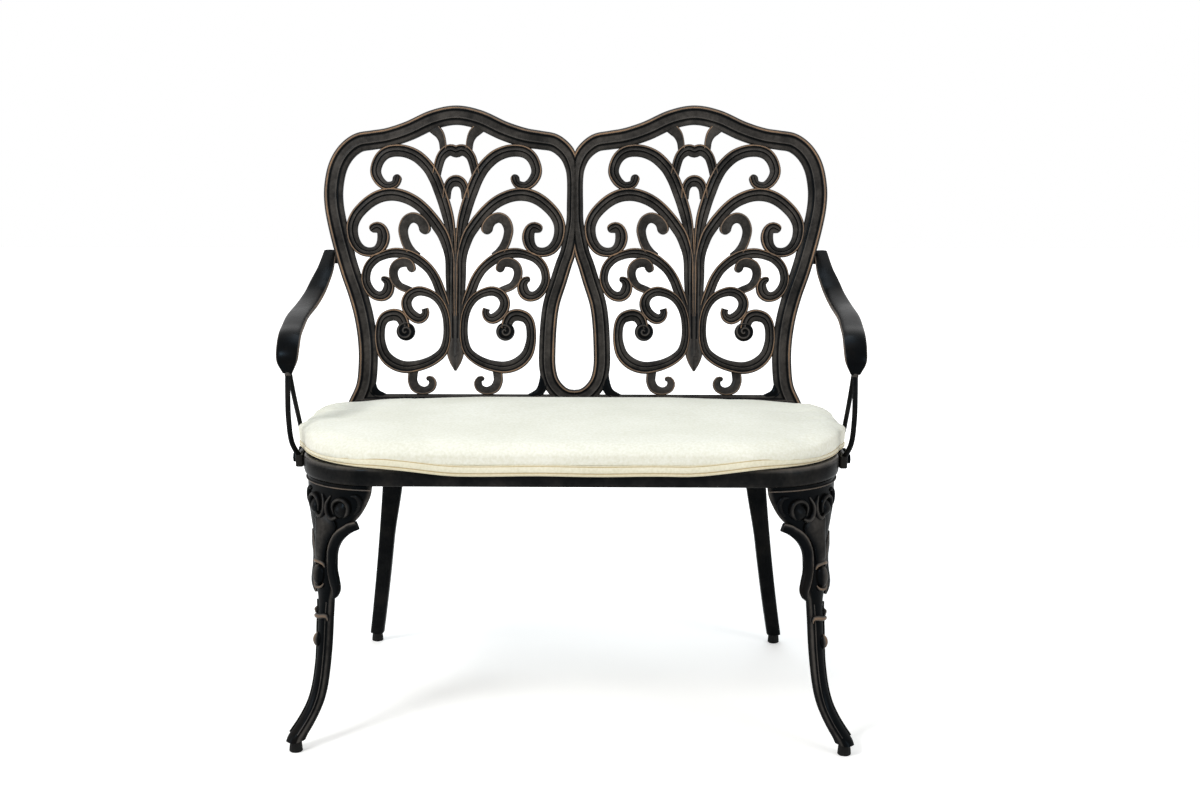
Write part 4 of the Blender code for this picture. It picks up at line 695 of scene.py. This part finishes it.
def spread(share, distance):
    """A distance on the leg with its flanks' spread, which grows from the middle plane to the half width."""
    reach = np.clip(distance / leg_size(share)[0], -1, 1)
    places, rear, front = (np.asarray(LEG_SPREAD) / (100, 1000, 1000)).T
    return distance + np.where(reach < 0, np.interp(share, places, rear), np.interp(share, places, front)) * reach


def leg_face(share, distance, lift):
    """A point on the left front leg's face: the rim's curve moved out by the leg's outset and a crown, 1 - s squared
    across its half width."""
    half, outset = leg_size(share)[:2]
    crown = LEG_CROWN * np.maximum(0.0, 1 - (distance / half) ** 2)
    distance = spread(share, distance)
    plan = rim_point(distance, np.zeros_like(distance)) + CORNER_OUT * (outset + crown + lift)[..., None]
    return lifted(plan, FOOT_HEIGHT + share * LEG_HEIGHT)


def bead(rows, power=1.0, worn=(UPWARDS, 2.0, 0.45)):
    """A raised vein on the leg's face: a superellipse of half width and height carried along rows of carving. Its
    across axis lies in the face, found from the face's slopes, and half of it is sunk. Worn gives the angle where the
    paint is rubbed, how sharply and how far."""
    rows = np.asarray(rows, float)
    line = spline(np.pad(rows, ((0, 0), (0, 5 - rows.shape[1]))), 24) / (100, 1000, 1000, 1000, 1000)
    line = even(np.column_stack([leg_face(line[:, 0], line[:, 1], line[:, 4]), line]), 0.0015)
    points, share, distance, wide, tall, lift = line[:, :3], *line[:, 3:].T
    side = leg_face(share, distance + 0.0005, lift) - leg_face(share, distance - 0.0005, lift)
    rise = leg_face(share + 0.001, distance, lift) - leg_face(share - 0.001, distance, lift)
    normal = unit(np.cross(side, rise))
    normal *= np.sign(normal[:, :2] @ CORNER_OUT)[:, None]
    across = unit(np.cross(normal, unit(np.gradient(points, axis=0))))
    turn = circle(24)
    flat, high = rounded(turn, power)
    ring = swept(points, across, normal, wide[:, None] * flat, tall[:, None] * high)
    return ring, np.clip(np.cos(turn - worn[0]), 0, 1) ** worn[1] * worn[2], False


def make_front_leg():
    """The left front leg: rings of a superellipse between face and heel, with the carved knee, bud, collar and berry,
    and a fine arris down either edge of the shin."""
    share = np.linspace(0, 1, 240)[:, None]
    a, b = rounded(circle(72), 0.5)
    half, outset, depth = leg_size(share)
    heel, more, start, reach = LEG_HEEL
    heel = heel + more * share_of(share, start, reach)
    distance = half * a * (1 + (heel - 1) * (1 - b) / 2)
    plan = rim_point(spread(share, distance), -depth * (1 - b) / 2)
    plan = plan + CORNER_OUT * (outset + LEG_CROWN * (1 - a ** 2) * np.maximum(b, 0))[..., None]
    start, reach, far = LEG_RUB
    rub = share_of(np.abs(a), start, reach) * np.clip(b + 0.3, 0, 1) * far
    shells = [(lifted(plan, FOOT_HEIGHT + share * LEG_HEIGHT), rub, False)]
    up, reach, wide, tall = TOP_VEIN
    ones = np.ones(15)
    shells.append(bead(np.column_stack([up * ones, np.linspace(-reach, reach, 15), wide * ones, tall * ones])))
    for side in (-1, 1):
        band = np.asarray(KNEE_BAND) * (1, side, 1, 1, 1)
        if side < 0:
            band = band[2:]
            band[0, 2:] = SHORT_BAND
        shells.append(bead(band, 0.45, (UPWARDS + side * math.pi / 4, 9.0, 0.42)))
        for rub, rows in KNEE_SCROLL:
            rows = np.asarray(rows)
            rows[:, 1] = KNEE_AXIS + side * (rows[:, 1] - KNEE_AXIS)
            shells.append(bead(rows, worn=(UPWARDS, 3.0, rub)))
        ends, reach, wide, tall = ARRIS
        s = np.linspace(*ends, 15)
        edge = side * reach * leg_size(s / 100)[0] * 1000
        shells.append(bead(np.column_stack([s, edge, wide * ones, tall * ones]), worn=(UPWARDS, 2.0, 0.25)))
    for rub, sharp, rows in LEG_CARVING:
        shells.append(bead(rows, worn=(UPWARDS, sharp, rub)))
    return shells


def make_rear_leg():
    """The left rear leg: rings of a superellipse whose middle sweeps back faster lower down, wider on the inside
    towards its top, and a bolting flange."""
    t = np.linspace(0, 1, 80)[:, None]
    a, b = rounded(circle(40), 0.5)
    (x1, x2), (y1, y2) = REAR_SWEEP
    added, start, reach = REAR_SHOULDER
    x = -REAR_TOP[0] + (REAR_TOP[0] - REAR_FOOT[0]) * (x1 * t + x2 * t * t)
    y = REAR_TOP[1] + (REAR_FOOT[1] - REAR_TOP[1]) * (y1 * t + y2 * t * t)
    x = x + REAR_HALF[0] * (1 + REAR_TAPER[0] * (0.5 - t)) * a
    x = x + added * (1 - smooth(share_of(t, start, reach))) * np.maximum(a, 0)
    y = y + REAR_HALF[1] * (1 + REAR_TAPER[1] * (0.5 - t)) * b
    reach = REAR_BOLT + BOSS_RADIUS
    flange = brick((-REAR_TOP[0] - reach, REAR_TOP[1] - BOSS_RADIUS, LEG_TOP - REAR_FLANGE),
                   (-REAR_TOP[0] + reach, REAR_TOP[1] + BOSS_RADIUS, LEG_TOP), 0.0015)
    return [(lifted(pair(x, y), LEG_TOP - LEG_HEIGHT * t), 0.05, False), flange]


def make_seat():
    """The seat: a rim band with a round face, a border, two families of lattice bars and the bolt bosses."""
    rim = np.stack([lifted(outline(SEAT_PLAN, inset, 40), SEAT_TOP - drop) for inset, drop, _ in RIM_FACE], axis=1)
    shells = [(rim, np.asarray(RIM_FACE)[:, 2], True)]
    deck = ((RIM_WALL - EDGE, 0.0), (LATTICE_BORDER - EDGE, 0.0), (LATTICE_BORDER, EDGE),
            (LATTICE_BORDER, DECK_THICKNESS), (RIM_WALL - EDGE, DECK_THICKNESS))
    border = np.stack([lifted(outline(SEAT_PLAN, inset, 20), DECK_TOP - drop) for inset, drop in deck], axis=1)
    shells.append((border, 0.0, True))
    inside = outline(SEAT_PLAN, LATTICE_BORDER - 0.004, 20)
    edge = np.roll(inside, -1, axis=0) - inside
    inward = pair(-edge[:, 1], edge[:, 0])
    middle = np.array((0.0, SEAT_FRONT + SEAT_DEPTH / 2))
    bar = np.array(((-1, -EDGE), (-0.85, 0.0), (0.85, 0.0), (1, -EDGE), (1, -DECK_THICKNESS), (-1, -DECK_THICKNESS)))
    for lean in (-1, 1):
        way = unit(np.array((LATTICE[0], lean * LATTICE[1])))
        across = np.array((-way[1], way[0]))
        gain = inward @ way
        for k in range(-LATTICE_REACH, LATTICE_REACH + 1):
            start = middle + np.array(((k + 0.5) * LATTICE[0], 0.0))
            t = np.sum(inward * (inside - start), axis=1) / np.where(np.abs(gain) < 1e-12, 1e-12, gain)
            low, high = t[gain > 0].max(), t[gain < 0].min()
            if high - low < LATTICE_SHORTEST:
                continue
            ends = start + np.array((low, high))[:, None] * way
            points = ends[:, None] + across * (bar[:, :1] * LATTICE_BAR / 2)
            shells.append((lifted(points, DECK_TOP - 0.0001 + bar[:, 1]), 0.0, False))
    boss = ((0.0, 0.0), (BOSS_RADIUS - EDGE, 0.0), (BOSS_RADIUS, EDGE), (BOSS_RADIUS, BOSS_HEIGHT))
    for side in (-1, 1):
        for x, y in leg_bolts():
            shells.append(lathe(boss, 32, (side * x, y, RIM_BOTTOM)))
    return shells


def leg_bolts():
    """Places of the left leg bolts in plan: two by the front leg, two by the rear leg."""
    front = rim_point(np.zeros(1), np.zeros(1))[0] - CORNER_OUT * FRONT_BOLT[0]
    side = np.array((-CORNER_OUT[1], CORNER_OUT[0])) * FRONT_BOLT[1]
    rear = np.array((-REAR_TOP[0], REAR_TOP[1]))
    return [front - side, front + side, rear - (REAR_BOLT, 0.0), rear + (REAR_BOLT, 0.0)]


def lathe(profile, sides, middle):
    """Each (radius, height) row is a ring about a vertical axis through the middle."""
    radius, level = np.asarray(profile, float).T[..., None]
    x = middle[0] + radius * np.cos(circle(sides))
    y = middle[1] + radius * np.sin(circle(sides))
    return lifted(pair(x, y), middle[2] + level), 0.0, False


def linear(code):
    """An sRGB hex colour as linear values: c / 12.92 below 0.04045, else ((c + 0.055) / 1.055) to the 2.4."""
    parts = np.array([int(code[k:k + 2], 16) / 255 for k in (1, 3, 5)])
    return (*np.where(parts <= 0.04045, parts / 12.92, ((parts + 0.055) / 1.055) ** 2.4), 1.0)


def fill(tree, made, inputs):
    """Sets inputs of a node to values, or links them to sockets."""
    for key, value in inputs.items():
        if isinstance(value, bpy.types.NodeSocket):
            tree.links.new(value, made.inputs[key])
        else:
            made.inputs[key].default_value = value


def node(tree, kind, inputs=None, **settings):
    """Adds a node, sets its properties and fills its inputs."""
    made = tree.nodes.new("ShaderNode" + kind)
    for key, value in settings.items():
        setattr(made, key, value)
    fill(tree, made, inputs or {})
    return made


def new_finish(name):
    """An empty material, its tree, its Principled shader and its object coordinates."""
    made = bpy.data.materials.new(name)
    made.use_nodes = True
    tree = made.node_tree
    return made, tree, tree.nodes["Principled BSDF"], node(tree, "TexCoord").outputs["Object"]


def noise(tree, where, scale, detail, roughness=0.5):
    """Noise with so many patches to the metre."""
    inputs = {"Vector": where, "Scale": scale, "Detail": detail, "Roughness": roughness}
    return node(tree, "TexNoise", inputs).outputs["Fac"]


def remap(tree, socket, start, end, low, high, **settings):
    """A socket's range from start to end as low to high, held at its ends."""
    inputs = {"Value": socket, "From Min": start, "From Max": end, "To Min": low, "To Max": high}
    return node(tree, "MapRange", inputs, **settings).outputs["Result"]


def math_of(tree, operation, first, second):
    """Two sockets joined by an operation."""
    return node(tree, "Math", {0: first, 1: second}, operation=operation).outputs[0]


def bump(tree, height, strength, distance):
    """Normals of a rough skin."""
    inputs = {"Height": height, "Strength": strength, "Distance": distance}
    return node(tree, "Bump", inputs).outputs["Normal"]


def ramp(tree, socket, *stops):
    """A colour ramp over a socket: places and colours."""
    made = node(tree, "ValToRGB", {"Fac": socket})
    while len(made.color_ramp.elements) < len(stops):
        made.color_ramp.elements.new(0.5)
    for element, (place, code) in zip(made.color_ramp.elements, stops):
        element.position = place
        element.color = linear(code)
    return made.outputs["Color"]


def bronze_paint():
    """Antique bronze powder coat on cast aluminium. Sprayed nearly black, then rubbed back by hand, so that proud
    edges show bronze in broken streaks. The cast skin under it is faintly pebbled, with 1.4 mm grains."""
    made, tree, shader, where = new_finish("antique_bronze_powder_coat")
    # The rub attribute is mostly wear, but it also holds a painted sheen on the back's faces, a painted reflection on
    # the rim's front face and part of a painted highlight on the leg's shield.
    rub = node(tree, "Attribute", attribute_name="rub").outputs["Fac"]
    cloud = noise(tree, where, 22.0, 4.0, 0.6)
    patch = remap(tree, cloud, 0.3, 0.7, 0.5, 1.05)
    fleck = remap(tree, noise(tree, where, 160.0, 3.0, 0.6), 0.3, 0.7, 0.75, 1.0)
    worn = math_of(tree, "MULTIPLY", math_of(tree, "MULTIPLY", rub, patch), fleck)
    dark = ramp(tree, cloud, (0.30, "#070707"), (0.52, "#0a0a0a"), (0.75, "#13100d"))
    metal = ramp(tree, worn, (0.0, "#1b1a19"), (0.22, "#4d4945"), (0.5, "#7b6552"), (0.9, "#a07e5e"))
    bare = remap(tree, worn, 0.02, 0.14, 0.0, 1.0)
    fill(tree, shader, {
        "Base Color": node(tree, "Mix", {0: bare, 6: dark, 7: metal}, data_type="RGBA").outputs[2],
        "Roughness": remap(tree, cloud, 0.3, 0.7, 0.22, 0.34),
        "Normal": bump(tree, noise(tree, where, 700.0, 2.0), 0.10, 0.0004),
        "Specular IOR Level": 0.04,
        # The blue specular tint is a painted reflection colour: it gives every reflection the hue of a bluish sky.
        "Specular Tint": linear("#b4d6f2")})
    return made


def zinc_steel():
    """Zinc-plated steel of the bolts: a bright blue-grey metal, a little cloudy from the bath, in 3 mm patches."""
    made, tree, shader, where = new_finish("zinc_plated_steel")
    cloud = noise(tree, where, 330.0, 3.0)
    fill(tree, shader, {"Base Color": ramp(tree, cloud, (0.3, "#8f9091"), (0.7, "#b4b5b3")),
                        "Roughness": remap(tree, cloud, 0.0, 1.0, 0.28, 0.5),
                        "Metallic": 1.0})
    return made


def black_nylon():
    """Moulded nylon of the foot pads: matt black with a fine spark-eroded grain, drawn at 1 mm so that it shows."""
    made, tree, shader, where = new_finish("black_nylon")
    grain = noise(tree, where, 1000.0, 2.0)
    fill(tree, shader, {"Base Color": ramp(tree, grain, (0.3, "#0b0b0b"), (0.7, "#141413")),
                        "Normal": bump(tree, grain, 0.25, 0.0003),
                        "Roughness": 0.55,
                        "Specular IOR Level": 0.12})
    return made


def ivory_cloth():
    """Plain woven polyester canvas, ivory. Threads lie 0.7 mm apart, drawn at 1.4 mm so that they show: a wave along
    each axis raises them. Slow clouds of tone vary at random. From its attribute the hem gets a warm band along its
    lower edge, partly its own tone and partly painted shade, and two darker lines of painted shade in its seam groove
    and in the crease at its top."""
    made, tree, shader, where = new_finish("ivory_polyester_canvas")
    tone = ramp(tree, noise(tree, where, 9.0, 3.0), (0.3, "#dddccf"), (0.7, "#e8e7dc"))
    fine = ramp(tree, noise(tree, where, 260.0, 2.0), (0.3, "#f2f1ea"), (0.7, "#ffffff"))
    # The hem's lower band is partly its own tone and partly painted shade; the seam lines are painted shade in the
    # hem's groove and in the crease at its top.
    beige, pale, seam_shade = "#f3ead6", "#fbf6ea", "#cbb48d"
    hem = node(tree, "Attribute", attribute_name="rub").outputs["Fac"]
    edge = ramp(tree, hem, (0.05, "#ffffff"), (0.09, beige), (0.27, beige), (0.315, seam_shade), (0.335, seam_shade),
                (0.38, pale), (0.76, pale), (0.80, seam_shade), (0.82, seam_shade), (0.86, pale))
    colour = tone
    for layer in (fine, edge):
        colour = node(tree, "Mix", {0: 1.0, 6: colour, 7: layer}, data_type="RGBA",
                      blend_type="MULTIPLY").outputs[2]
    wave = {"Vector": where, "Scale": 36.0, "Distortion": 0.6, "Detail": 1.0, "Detail Scale": 4.0}
    threads = [node(tree, "TexWave", wave, bands_direction=way).outputs["Fac"] for way in ("X", "Y")]
    fill(tree, shader, {"Base Color": colour,
                        "Normal": bump(tree, math_of(tree, "MULTIPLY", *threads), 0.16, 0.0005),
                        "Roughness": 0.88,
                        "Sheen Weight": 0.15})
    return made


FINISHES = {make.__name__: make() for make in (bronze_paint, zinc_steel, black_nylon, ivory_cloth)}


def cushion_plan(inset, steps):
    """Plan of the cushion, moved inwards, at equal steps."""
    ring = outline(CUSHION_PLAN, inset, steps)
    ring = np.vstack([ring, ring[:1]])
    return sample(ring, np.linspace(0, along(ring)[-1], 4 * steps, endpoint=False))


def baked(piece):
    """The piece's mesh with its modifiers taken in, and the mesh's points."""
    mesh = bpy.data.meshes.new_from_object(piece.evaluated_get(bpy.context.evaluated_depsgraph_get()))
    piece.modifiers.clear()
    points = np.empty(len(mesh.vertices) * 3, np.float32)
    mesh.vertices.foreach_get("co", points)
    return mesh, points.reshape(-1, 3)


def filled(piece):
    """Blows the cover up with cloth simulation: a voxel remesh, some frames of pressure without gravity, and no point
    moved further than the cap."""
    remesh = piece.modifiers.new("remesh", "REMESH")
    remesh.mode = "VOXEL"
    remesh.voxel_size = VOXEL
    mesh, start = baked(piece)
    piece.data = mesh
    cloth = piece.modifiers.new("cloth", "CLOTH")
    for key, value in FILLING.items():
        setattr(cloth.settings, key, value)
    cloth.settings.effector_weights.gravity = 0.0
    cloth.point_cache.frame_start = 1
    cloth.point_cache.frame_end = FILL_FRAMES
    for number in range(1, FILL_FRAMES + 1):
        scene.frame_set(number)
    move = baked(piece)[1] - start
    scene.frame_set(1)
    far = np.linalg.norm(move, axis=1, keepdims=True)
    return start + move * np.minimum(1.0, FILL_CAP / np.maximum(far, 1e-9)), mesh


def beside_rods(x, y, dented):
    """Sides of the cushion by an arm's rods: a bump of cosine squared between them, less a dent by the rear one."""
    high, middle, half = CUSHION_BELLY
    deep, notch, wide = CUSHION_NOTCH
    bulge = high * np.cos(math.pi / 2 * np.clip((y - middle) / half, -1, 1)) ** 2
    return x + np.sign(x) * (bulge - dented * deep * bell(y, notch, wide)) * share_of(np.abs(x), *ROD_REACH)


def hem_share(x):
    """The hem's height as a share of its height at the front: it halves towards the cushion's ends."""
    start, reach, lower = HEM_TAPER
    return 1 - lower * smooth(share_of(np.abs(x), start, reach))


def end_bulge(x, z, start, reach, level, tall):
    """The cover with an end pushed out about a level: a bell in height that grows along the bench."""
    return x + np.sign(x) * END_BULGE * share_of(np.abs(x), start, reach) * bell(z, COVER_LOW + level, tall)


def dressed(points):
    """The cushion's cover as it lies: drawn out to its plan again, flat on the deck and drawn in behind its hem, full
    ends shaped by the arms' rods, a plumper rear edge, and shallow creases that run in from its ends."""
    x, y, z = points.T.copy()
    x = x * (CUSHION_HALF - COVER_EASE) / np.abs(x).max()
    y = np.interp(y, (y.min(), y.max()), (CUSHION_FRONT + COVER_EASE, CUSHION_BACK))
    z = np.maximum(z, COVER_LOW)
    drawn_in, tall, fade = COVER_TUCK
    tuck = 1 - drawn_in * share_of(COVER_LOW + tall * hem_share(x), z, fade)
    x = beside_rods(x, y, 0.0) * tuck
    y = y * tuck
    x = end_bulge(x, z, *END_BULGES[0])
    rise, start, reach, level, tall = END_RISE
    z = z + rise * smooth(share_of(np.abs(x), start, reach)) * share_of(z, COVER_LOW + level, tall)
    x = end_bulge(x, z, *END_BULGES[1])
    side = np.abs(x)
    top = share_of(z - COVER_LOW, *TOP_LEVEL)
    rise, less, start, reach = REAR_PLUMP
    z = z + top * share_of(y, *REAR_EDGE) * (rise - less * share_of(side, start, reach))
    start, reach, place = CREASE_END
    wander = CREASE_WANDER * np.sin(70 * x)
    crease = sum(deep * bell(y, at + lean * (side - place) + wander, CREASE_WIDTH) for at, lean, deep in CREASES)
    z = z - crease * share_of(side, start, reach) * top
    z = z + TOP_WAVE * top * np.sin(9.0 * x + 1.0) * np.cos(14.0 * y)
    return np.stack([x, y, z], axis=1)


def make_hem():
    """The hem round the cushion's lower edge: its section carried along the plan, lying on the deck and hanging in
    front of the rim. Its attribute runs up the section."""
    plan = cushion_plan(0.0, 120)
    plan[:, 0] = beside_rods(*plan.T, 1.0)
    way = unit(np.roll(plan, -1, axis=0) - np.roll(plan, 1, axis=0))
    normal = pair(way[:, 1], -way[:, 0])
    x, y = plan.T
    hang = CUSHION_HANG * smooth(share_of(HEM_FRONT[0], np.abs(x), HEM_FRONT[1]) * (y < 0))
    level = HEM_LOW - hang + HEM_WAVE * (1 + np.sin(37 * x + 11 * y))
    out, up = np.asarray(HEM_FACE).T / 1000
    points = lifted(plan[:, None] + normal[:, None] * out[:, None], level[:, None] + up * hem_share(x)[:, None])
    return points, np.where(out > -0.003, 0.1 + up * 50, 0.1), True


def make_cushion():
    """The cushion: rings of its outline from the middle of the bottom to the middle of the top, blown up and laid."""
    rows = np.array(COVER_RINGS) / 1000
    rings = np.stack([lifted(cushion_plan(inset, 60), COVER_LOW + level) for inset, level in rows])
    made = cast_piece("cushion", [(rings, 0.0, False)], "ivory_cloth", "cushion", "seat_cushion")
    points, mesh = filled(made)
    mesh.vertices.foreach_set("co", dressed(points).astype(np.float32).ravel())
    mesh.shade_smooth()
    made.data = mesh
    paint(mesh, "ivory_cloth")
    soft = made.modifiers.new("soft", "SUBSURF")
    soft.levels = soft.render_levels = 1
    return made


scroll_shells, frame_shells = make_back()
cast_piece("back_scrolls", scroll_shells, "bronze_paint", "bench", "back_panel")
cast_piece("back_frame", frame_shells + make_rails(), "bronze_paint", "bench")
for piece_name, shells in (("arm", make_arm()), ("front_leg", make_front_leg()), ("rear_leg", make_rear_leg())):
    cast_piece(piece_name + "_casting_left", shells, "bronze_paint", "bench", piece_name + "_left")
    cast_piece(piece_name + "_casting_right", flipped(shells), "bronze_paint", "bench", piece_name + "_right")
cast_piece("seat_frame", make_seat(), "bronze_paint", "bench", "seat_casting")
cushion = make_cushion()
cast_piece("cushion_hem", [make_hem()], "ivory_cloth", "cushion")
for name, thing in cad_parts.items():
    if name.startswith(("arm_bolt", "arm_washer")):
        paint(thing.data, "bronze_paint")
    elif "bolt" in name or "washer" in name or "stud" in name:
        paint(thing.data, "zinc_steel")
    elif "pad" in name:
        paint(thing.data, "black_nylon")

# Stage, light and camera
WHITE = (1.0, 1.0, 1.0, 1.0)
floor_mesh = bpy.data.meshes.new("floor")
floor_mesh.from_pydata([(-9, -6, 0), (9, -6, 0), (9, 9, 0), (-9, 9, 0)], [], [(0, 1, 2, 3)])
floor = placed("floor", floor_mesh)
pale_floor, floor_tree, floor_shader, floor_where = new_finish("pale_floor")
floor_seen = node(floor_tree, "LightPath").outputs["Is Camera Ray"]
# The floor glows for camera rays: less near the bench, a painted shade round it, and fully far off, where the lamps
# light it less.
floor_far = node(floor_tree, "VectorMath", {0: floor_where}, operation="LENGTH").outputs["Value"]
floor_fade = remap(floor_tree, floor_far, 0.55, 2.2, 0.36, 1.0, interpolation_type="SMOOTHSTEP")
fill(floor_tree, floor_shader, {"Base Color": linear("#f4f4f2"), "Roughness": 0.9, "Emission Color": WHITE,
                                "Emission Strength": math_of(floor_tree, "MULTIPLY", floor_seen, floor_fade)})
floor_mesh.materials.append(pale_floor)

world = bpy.data.worlds.new("studio")
scene.world = world
world.use_nodes = True
sky_tree = world.node_tree
ray = node(sky_tree, "LightPath").outputs
seen = math_of(sky_tree, "MAXIMUM", ray["Is Camera Ray"], ray["Is Glossy Ray"])
seen = math_of(sky_tree, "MAXIMUM", seen, ray["Is Transmission Ray"])
fill(sky_tree, sky_tree.nodes["Background"], {"Color": WHITE, "Strength": remap(sky_tree, seen, 0.0, 1.0, 0.45, 1.0)})

# Square soft boxes: spot, height of the point on the axis they are turned to, size and power.
LIGHTS = {
    "key": ((-1.5, -1.9, 2.5), 0.5, 0.6, 44),
    "fill": ((2.0, -2.2, 1.6), 0.5, 0.7, 12),
    "left": ((-2.3, -0.7, 0.9), 0.4, 0.7, 11),
    "right": ((2.1, -1.5, 0.8), 0.4, 0.7, 9.5),
    "top": ((0.0, 0.5, 2.8), 0.5, 1.4, 28),
}
for name, (spot, aim, size, power) in LIGHTS.items():
    lamp = bpy.data.lights.new(name, "AREA")
    lamp.shape = "SQUARE"
    lamp.size = size
    lamp.energy = power
    soft_box = placed(name, lamp)
    soft_box.location = spot
    way = np.subtract((0, 0, aim), spot)
    soft_box.rotation_euler = (math.atan2(math.hypot(way[0], way[1]), -way[2]), 0.0, math.atan2(-way[0], way[1]))
bpy.data.lights["top"].color = (0.82, 0.92, 1.0)

PHOTO_WIDTH = 1200
FOCAL_LENGTH = 1707  # in pixels, as the shift is
SHIFT = 27
SENSOR = 36.0
lens = bpy.data.cameras.new("camera")
lens.sensor_width = SENSOR
lens.lens = FOCAL_LENGTH / PHOTO_WIDTH * SENSOR
lens.shift_x = SHIFT / PHOTO_WIDTH
camera = placed("camera", lens)
camera.location = (0.0452, -2.6174, 0.915)
camera.rotation_euler = (math.radians(90 - 9.56), 0.0, math.radians(0.972))
scene.camera = camera
scene.view_settings.view_transform = "Standard"
